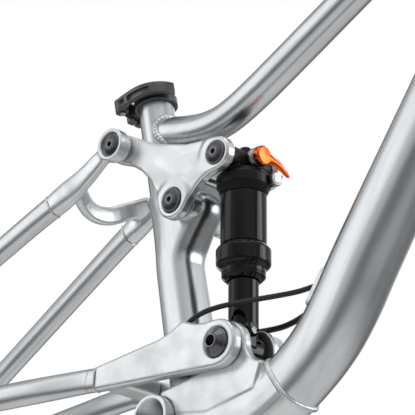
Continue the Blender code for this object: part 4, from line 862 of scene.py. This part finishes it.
POLISHED_BLACK = Finish("polished_black", (0.105, 0.107, 0.116), 0.16, 1.0,
                        Coat_Weight=0.8, Coat_Roughness=0.06)
POLISHED_BLACK = POLISHED_BLACK.gloss(0.12, 0.24, 90.0, 3.0).material


def capped(rings_out, across, depth, columns=96):
    """A turned cap with a six-sided socket: rows of (radius, height) outside, and then
    rows whose radius is half the flats over the cosine of the angle from their middle."""
    turn = round_turn(columns)
    flat = across / 2 / np.cos((turn + pi / 6) % (pi / 3) - pi / 6)
    top = rings_out[-1][1]
    rows = np.array(list(rings_out) + [(1.0, top), (1.0, top - 0.0004), (1.0, top - depth)])
    lobes = np.ones((len(rows), columns))
    lobes[-3] = flat + 0.0003
    lobes[-2:] = flat
    return rows, lobes


def cap_profile(radius, dome):
    """Side, rim, an inner step and a low crown round the socket."""
    outer = [(radius, 0.0), (radius, dome * 0.30), (radius * 0.92, dome * 0.42),
             (radius * 0.88, dome * 0.40), (radius * 0.85, dome * 0.44),
             (radius * 0.50, dome * 0.90), (radius * 0.46, dome * 0.88),
             (radius * 0.40, dome), (radius * 0.34, dome)]
    return eased_corners(outer, radius * 0.05, 5)


for node_pair, body, across in (("rocker_pivot_cap", "rocker", 0.0050),
                                ("shock_bolt_cap", "rocker", 0.0050),
                                ("seatstay_pivot_cap", "seatstays", 0.0050),
                                ("main_pivot_cap", "front_triangle", 0.0118)):
    for side, sign in SIDES:
        node = f"{node_pair}_{side}"
        low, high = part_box(node)
        centre = (np.array(low) + np.array(high)) / 2
        inner = high[1] if sign < 0 else low[1]
        dome = abs(high[1] - low[1])
        rows, lobes = capped(cap_profile((high[0] - low[0]) / 2, dome), across, dome * 0.6)
        grid = turned(rows, (centre[0], inner, centre[2]), LEFT * sign, 96, lobes)
        fit(surface(f"{node}_domed", grid, POLISHED_BLACK, sharp=30.0), body, "pivot_cap",
            node)

# ------------------------------ air shock
# An air can in gloss black with a stepped seal head, a shaft that slides in it, and an
# anodised head with a valve, a rebound knob and an orange lockout lever.

SHOCK_FOOT = pivot["main_pivot"]
TRUNNION = np.array([0.0625, 0.0, 0.2455])
SHOCK_UP = unit(TRUNNION - SHOCK_FOOT)
SHOCK_AHEAD = np.array([SHOCK_UP[2], 0.0, -SHOCK_UP[0]])


def on_shock(up, ahead=0.0, left=0.0):
    """A point by its distances up the shock, ahead of it and to the left."""
    return SHOCK_FOOT + SHOCK_UP * up + SHOCK_AHEAD * ahead + LEFT * left


def satin_black(name, roughness, colour, metallic):
    """Black anodised aluminium, fine blasted."""
    made = Finish(name, colour, roughness, metallic, Specular_IOR_Level=0.35)
    made.relief(0.00010, 0.35, 1400.0)
    return made.gloss(roughness - 0.06, roughness + 0.08, 60.0, 3.0).material


# Paint under a thick gloss coat with a faint orange peel.
CAN_BLACK = Finish("shock_gloss_black", (0.003, 0.003, 0.004), 0.20, 0.0, Coat_Weight=1.0,
                   Coat_Roughness=0.04, Coat_IOR=1.38, Specular_IOR_Level=0.0)
CAN_BLACK = CAN_BLACK.relief(0.00010, 0.08, 160.0, 1.0).gloss(0.20, 0.32, 40.0, 2.0).material
HEAD_BLACK = satin_black("shock_head_black", 0.36, (0.012, 0.012, 0.013), 0.3)
shaped("shock_shaft", "shock_shaft", 0.0005, 8, "turned", CAN_BLACK, "shock_black")

seal_outline = [(0.0146, 0.0680), (0.0172, 0.0680), (0.0208, 0.0716), (0.0208, 0.0730),
                (0.0203, 0.0733), (0.0203, 0.0742), (0.0208, 0.0745), (0.0208, 0.0792),
                (0.0230, 0.0806), (0.0256, 0.0832), (0.0260, 0.0852), (0.0260, 0.0975),
                (0.0254, 0.0990), (0.0226, 0.1022), (0.0220, 0.1025), (0.0146, 0.1025)]
can_outline = [(0.0190, 0.1028), (0.0213, 0.1028), (0.0218, 0.1036), (0.0218, 0.1518),
               (0.0213, 0.1527), (0.0190, 0.1527)]
for node, outline, *corners in (("shock_seal_head", seal_outline, 0.0010, 5),
                                ("shock_can", can_outline, 0.0006, 4)):
    grid = turned(eased_corners(outline, *corners, True), SHOCK_FOOT, SHOCK_UP, 112)
    fit(surface(f"{node}_turned", grid, CAN_BLACK, True), "shock_body", "shock_black", node)
shock_axes = (SHOCK_AHEAD, LEFT, SHOCK_UP)
valve_well = rounded_bar("valve_well", 0.026, 0.017, 0.020, on_shock(0.2005, -0.0010),
                         shock_axes, HEAD_BLACK)
shaped("shock_head", "shock_body", 0.0007, 8, "cast", HEAD_BLACK, "black_alloy", [valve_well])


def knurled(name, outline, centre, axis, ridges, depth, finish, columns=144):
    """A turned piece with a knurl: where it is widest, its radius swells by a share of
    depth times the cosine of ridges turns."""
    profile = eased_corners(outline, KNOB_EDGE, 4)
    ridge = 1 + depth * np.cos(ridges * round_turn(columns))[None, :]
    even = profile[:, 0] < profile[:, 0].max() * 0.97
    lobes = np.where(even[:, None], 1.0, ridge)
    return surface(name, turned(profile, centre, axis, columns, lobes), finish)


KNOB_EDGE = 0.0004
KNOB_UP = 0.1870
BARE_KNOB = Finish("bare_knob", (0.50, 0.50, 0.49), 0.30, 1.0)
BARE_KNOB = BARE_KNOB.relief(0.0001, 0.3, 500.0, 2.0).material
RUBBER = Finish("moulded_black", (0.020, 0.020, 0.021), 0.46, 0.0)
RUBBER = RUBBER.relief(0.00012, 0.4, 700.0, 2.0).material

valve_outline = [(0.0036, 0.0), (0.0036, 0.0018), (0.0054, 0.0022), (0.0054, 0.0086),
                 (0.0046, 0.0098), (0.0008, 0.0099)]
fit(knurled("valve_cap_knurled", valve_outline, on_shock(0.1903, 0.0020), SHOCK_UP, 24, 0.05,
            RUBBER), "shock_body", "black_plastic", "valve_cap")
base_outline = [(0.0080, 0.0), (0.0095, 0.0005), (0.0095, 0.0036), (0.0088, 0.0042),
                (0.0088, 0.0052), (0.0095, 0.0057), (0.0088, 0.0067), (0.0010, 0.0067)]
base_grid = turned(eased_corners(base_outline, KNOB_EDGE, 4), on_shock(KNOB_UP, 0.0123),
                   SHOCK_AHEAD)
fit(surface("lockout_knob_base_turned", base_grid, BARE_KNOB), "shock_body", "steel",
    "lockout_knob_base")
rebound_outline = [(0.0055, 0.0), (0.0068, 0.0006), (0.0068, 0.0044), (0.0058, 0.0052),
                   (0.0030, 0.0046), (0.0008, 0.0046)]
fit(knurled("rebound_knob_knurled", rebound_outline, on_shock(0.1660, 0.0255, 0.0130),
            SHOCK_AHEAD, 18, 0.035, BARE_KNOB), "rebound_knob", "steel", "rebound_knob")

# The lever: a round hub, and a blade with a ridge that droops to the left.
ORANGE = Finish("orange_anodised", (0.92, 0.11, 0.003), 0.22, 1.0, Coat_Weight=0.5,
                Coat_Roughness=0.08)
ORANGE.tint((0.88, 0.09, 0.002), (0.95, 0.14, 0.004), 60.0, 2.0)
ORANGE = ORANGE.relief(0.0001, 0.3, 600.0, 2.0).material
BLADE_RUN = [(-0.0020, 0.0000, 0.0238), (0.0080, -0.0012, 0.0246), (0.0180, -0.0045, 0.0258),
             (0.0270, -0.0086, 0.0262), (0.0345, -0.0122, 0.0258)]
BLADE_HALF = [(0, 0.0072), (0.2, 0.0062), (0.55, 0.0040), (0.9, 0.0030), (1, 0.0016)]
BLADE_THICK = [(0, 0.0030), (0.6, 0.0028), (1, 0.0014)]
blade_route = smooth_route([on_shock(KNOB_UP + up, ahead, left)
                            for left, up, ahead in BLADE_RUN], 12)
blade = surface("blade", swept(blade_route, BLADE_HALF, BLADE_THICK, 1.6, 48,
                               across=SHOCK_AHEAD), ORANGE)
hub_outline = eased_corners([(0.0010, 0.0), (0.0090, 0.0), (0.0098, 0.0008), (0.0098, 0.0062),
                             (0.0084, 0.0076), (0.0010, 0.0080)], 0.0005, 4)
hub = surface("hub", turned(hub_outline, on_shock(KNOB_UP, 0.0193), SHOCK_AHEAD), ORANGE)
fit(softened([hub, blade], "lockout_lever_forged", ORANGE, 0.0004, 5), "lockout_lever",
    "orange_lever", "lockout_lever")
discard(hub, blade)

# ------------------------------ seat clamp
# A machined collar round the slit top of the seat tube, drawn shut by a quick-release
# lever that turns on a cam pin and lies round the drive side of the collar.

CLAMP_BLACK = satin_black("clamp_black", 0.32, (0.130, 0.132, 0.136), 0.8)
CLAMP_AXES = (SEAT_AHEAD, LEFT, SEAT_UP)
COLLAR_FOOT = -0.0066


def on_clamp(ahead, left, up=0.0):
    """A point by its distances ahead of the tube's top, to the left and up the tube."""
    return SEAT_TOP + SEAT_AHEAD * ahead + LEFT * left + SEAT_UP * up


collar_trim = rounded_bar("collar_trim", 0.048, 0.048, 0.020,
                          on_clamp(0.0, 0.0, COLLAR_FOOT - 0.010), CLAMP_AXES, CLAMP_BLACK)
shaped("seat_clamp_collar", "front_triangle", 0.0005, 5, "machined", CLAMP_BLACK, "black_alloy",
       [collar_trim])

# The lever's middle line round the collar, seen from above, as ahead and left.
LEVER_RUN = [(-0.0280, -0.0205), (-0.0258, -0.0224), (-0.0225, -0.0242), (-0.0150, -0.0256),
             (-0.0075, -0.0264), (0.0000, -0.0266), (0.0070, -0.0256), (0.0135, -0.0229),
             (0.0190, -0.0186), (0.0233, -0.0128), (0.0260, -0.0068), (0.0275, -0.0022)]
LEVER_MIDDLE, LEVER_HALF = 0.0022, 0.0066


def clamp_band(name, first, last, level, half, thick, reach=1.0):
    """Part of the lever's line as a band: rounded boxes |u/a|^5 + |v/b|^5 = 1 along it."""
    route = smooth_route([on_clamp(ahead * reach, left * reach, level)
                          for ahead, left in LEVER_RUN], 12)
    chosen = route[round(first * (len(route) - 1)):round(last * (len(route) - 1)) + 1]
    grid = swept(chosen, half, thick, 5.0, 64,
                 across=np.cross(SEAT_UP, chosen[-1] - chosen[0]))
    return surface(name, grid, CLAMP_BLACK)


def hub_rod(name, radius, low, high):
    """A plain rod on the axis that the lever turns on."""
    return surface(name, turned([(radius, low), (radius, high)], on_clamp(*LEVER_HUB), SEAT_UP,
                                64), CLAMP_BLACK)


def pin_bore(radius):
    return hub_rod("pin_bore", radius, -0.02, 0.02)


LEVER_HUB, LEVER_HUB_R, PIN_BORE_R = (-0.0265, -0.0195), 0.0068, 0.0033
POCKET_THICK, POCKET_REACH = 0.0030, 1.10
band = clamp_band("band", 0.0, 1.0, LEVER_MIDDLE, LEVER_HALF,
                  [(0, 0.0032), (0.10, 0.0032), (0.30, 0.0027), (0.85, 0.0023), (1, 0.0012)])
pockets = [clamp_band("short_pocket", 0.15, 0.28, LEVER_MIDDLE - 0.0006, 0.0026,
                      POCKET_THICK, POCKET_REACH),
           clamp_band("long_pocket", 0.33, 0.64, LEVER_MIDDLE - 0.0010, 0.0028,
                      POCKET_THICK, POCKET_REACH)]
less(band, *pockets)
less(band, pin_bore(PIN_BORE_R))
lever_hub = hub_rod("lever_hub", LEVER_HUB_R, LEVER_MIDDLE - LEVER_HALF,
                    LEVER_MIDDLE + LEVER_HALF)
less(lever_hub, pin_bore(PIN_BORE_R))
fit(softened([band, lever_hub], "seat_clamp_lever_forged", CLAMP_BLACK, 0.0004, 5),
    "clamp_lever", "black_alloy", "seat_clamp_lever")
discard(band, lever_hub)
saddle = rounded_bar("seat_clamp_saddle_moulded", 0.0140, 0.0140, 0.0034,
                     on_clamp(-0.0245, -0.0109, -0.0002), (SEAT_AHEAD, SEAT_UP, LEFT), RUBBER)
fit(less(saddle, pin_bore(LEVER_HUB_R + 0.0004)), "front_triangle", "black_plastic",
    "seat_clamp_saddle")

# ------------------------------ cable jumpers
# The shift housing and the brake hose cross from ports in the swingarm to ports in the down tube. They are
# extruded jackets, held at both ends.

JACKET = Finish("extruded_jacket", (0.018, 0.018, 0.019), 0.42, 0.0)
JACKET = JACKET.relief(0.00015, 0.3, 300.0, 2.0).gloss(0.34, 0.50, 80.0, 2.0).material
HOUSING_RUN = [(0.0340, -0.0322, 0.0835), (0.0430, -0.0318, 0.0895), (0.0540, -0.0300, 0.0945),
               (0.0680, -0.0272, 0.0980), (0.0850, -0.0250, 0.0998), (0.1020, -0.0245, 0.1003),
               (0.1200, -0.0240, 0.1003), (0.1400, -0.0220, 0.1010), (0.1580, -0.0180, 0.1030),
               (0.1740, -0.0138, 0.1070)]
HOSE_RUN = [(0.0340, 0.0322, 0.0835), (0.0430, 0.0318, 0.0868), (0.0560, 0.0300, 0.0880),
            (0.0730, 0.0275, 0.0875), (0.0900, 0.0250, 0.0868), (0.1070, 0.0220, 0.0868),
            (0.1250, 0.0190, 0.0895), (0.1420, 0.0160, 0.0943), (0.1590, 0.0140, 0.0995),
            (0.1740, 0.0136, 0.1045)]
for node, run, radius in (("shift_housing", HOUSING_RUN, 0.0025),
                          ("brake_hose", HOSE_RUN, 0.0028)):
    line = smooth_route(run, 8)
    piece = surface(f"{node}_jacket", swept(line, radius, radius, 2.0, 24), JACKET)
    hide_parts(node)
    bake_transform(piece)

# ------------------------------ plain hardware
# The axles, bearings, bolts and pins are turned steel parts, and the remaining small
# pieces keep their solids. Each gets the finish of the real one.

TURNED_STEEL = Finish("turned_steel", (0.56, 0.56, 0.57), 0.26, 1.0)
TURNED_STEEL.relief(0.0001, 0.35, 300.0, 2.0, TURNED_STEEL.place((1.0, 30.0, 1.0)))
TURNED_STEEL = TURNED_STEEL.tint((0.48, 0.48, 0.49), (0.62, 0.62, 0.62), 70.0, 2.0).material
slot_finish = {"raw_tube": STAY_FINISH, "forging": FORGED, "black_alloy": HEAD_BLACK,
               "pivot_cap": POLISHED_BLACK, "steel": TURNED_STEEL, "shock_black": CAN_BLACK,
               "black_plastic": RUBBER, "orange_lever": RUBBER, "cable": JACKET}
for row in frame["record"]["subparts"]:
    node_object = solid[row["node"]]
    for index in range(len(node_object.material_slots)):
        node_object.material_slots[index].material = slot_finish[row["material_slot"]]

bpy.context.scene.view_settings.view_transform = "Standard"
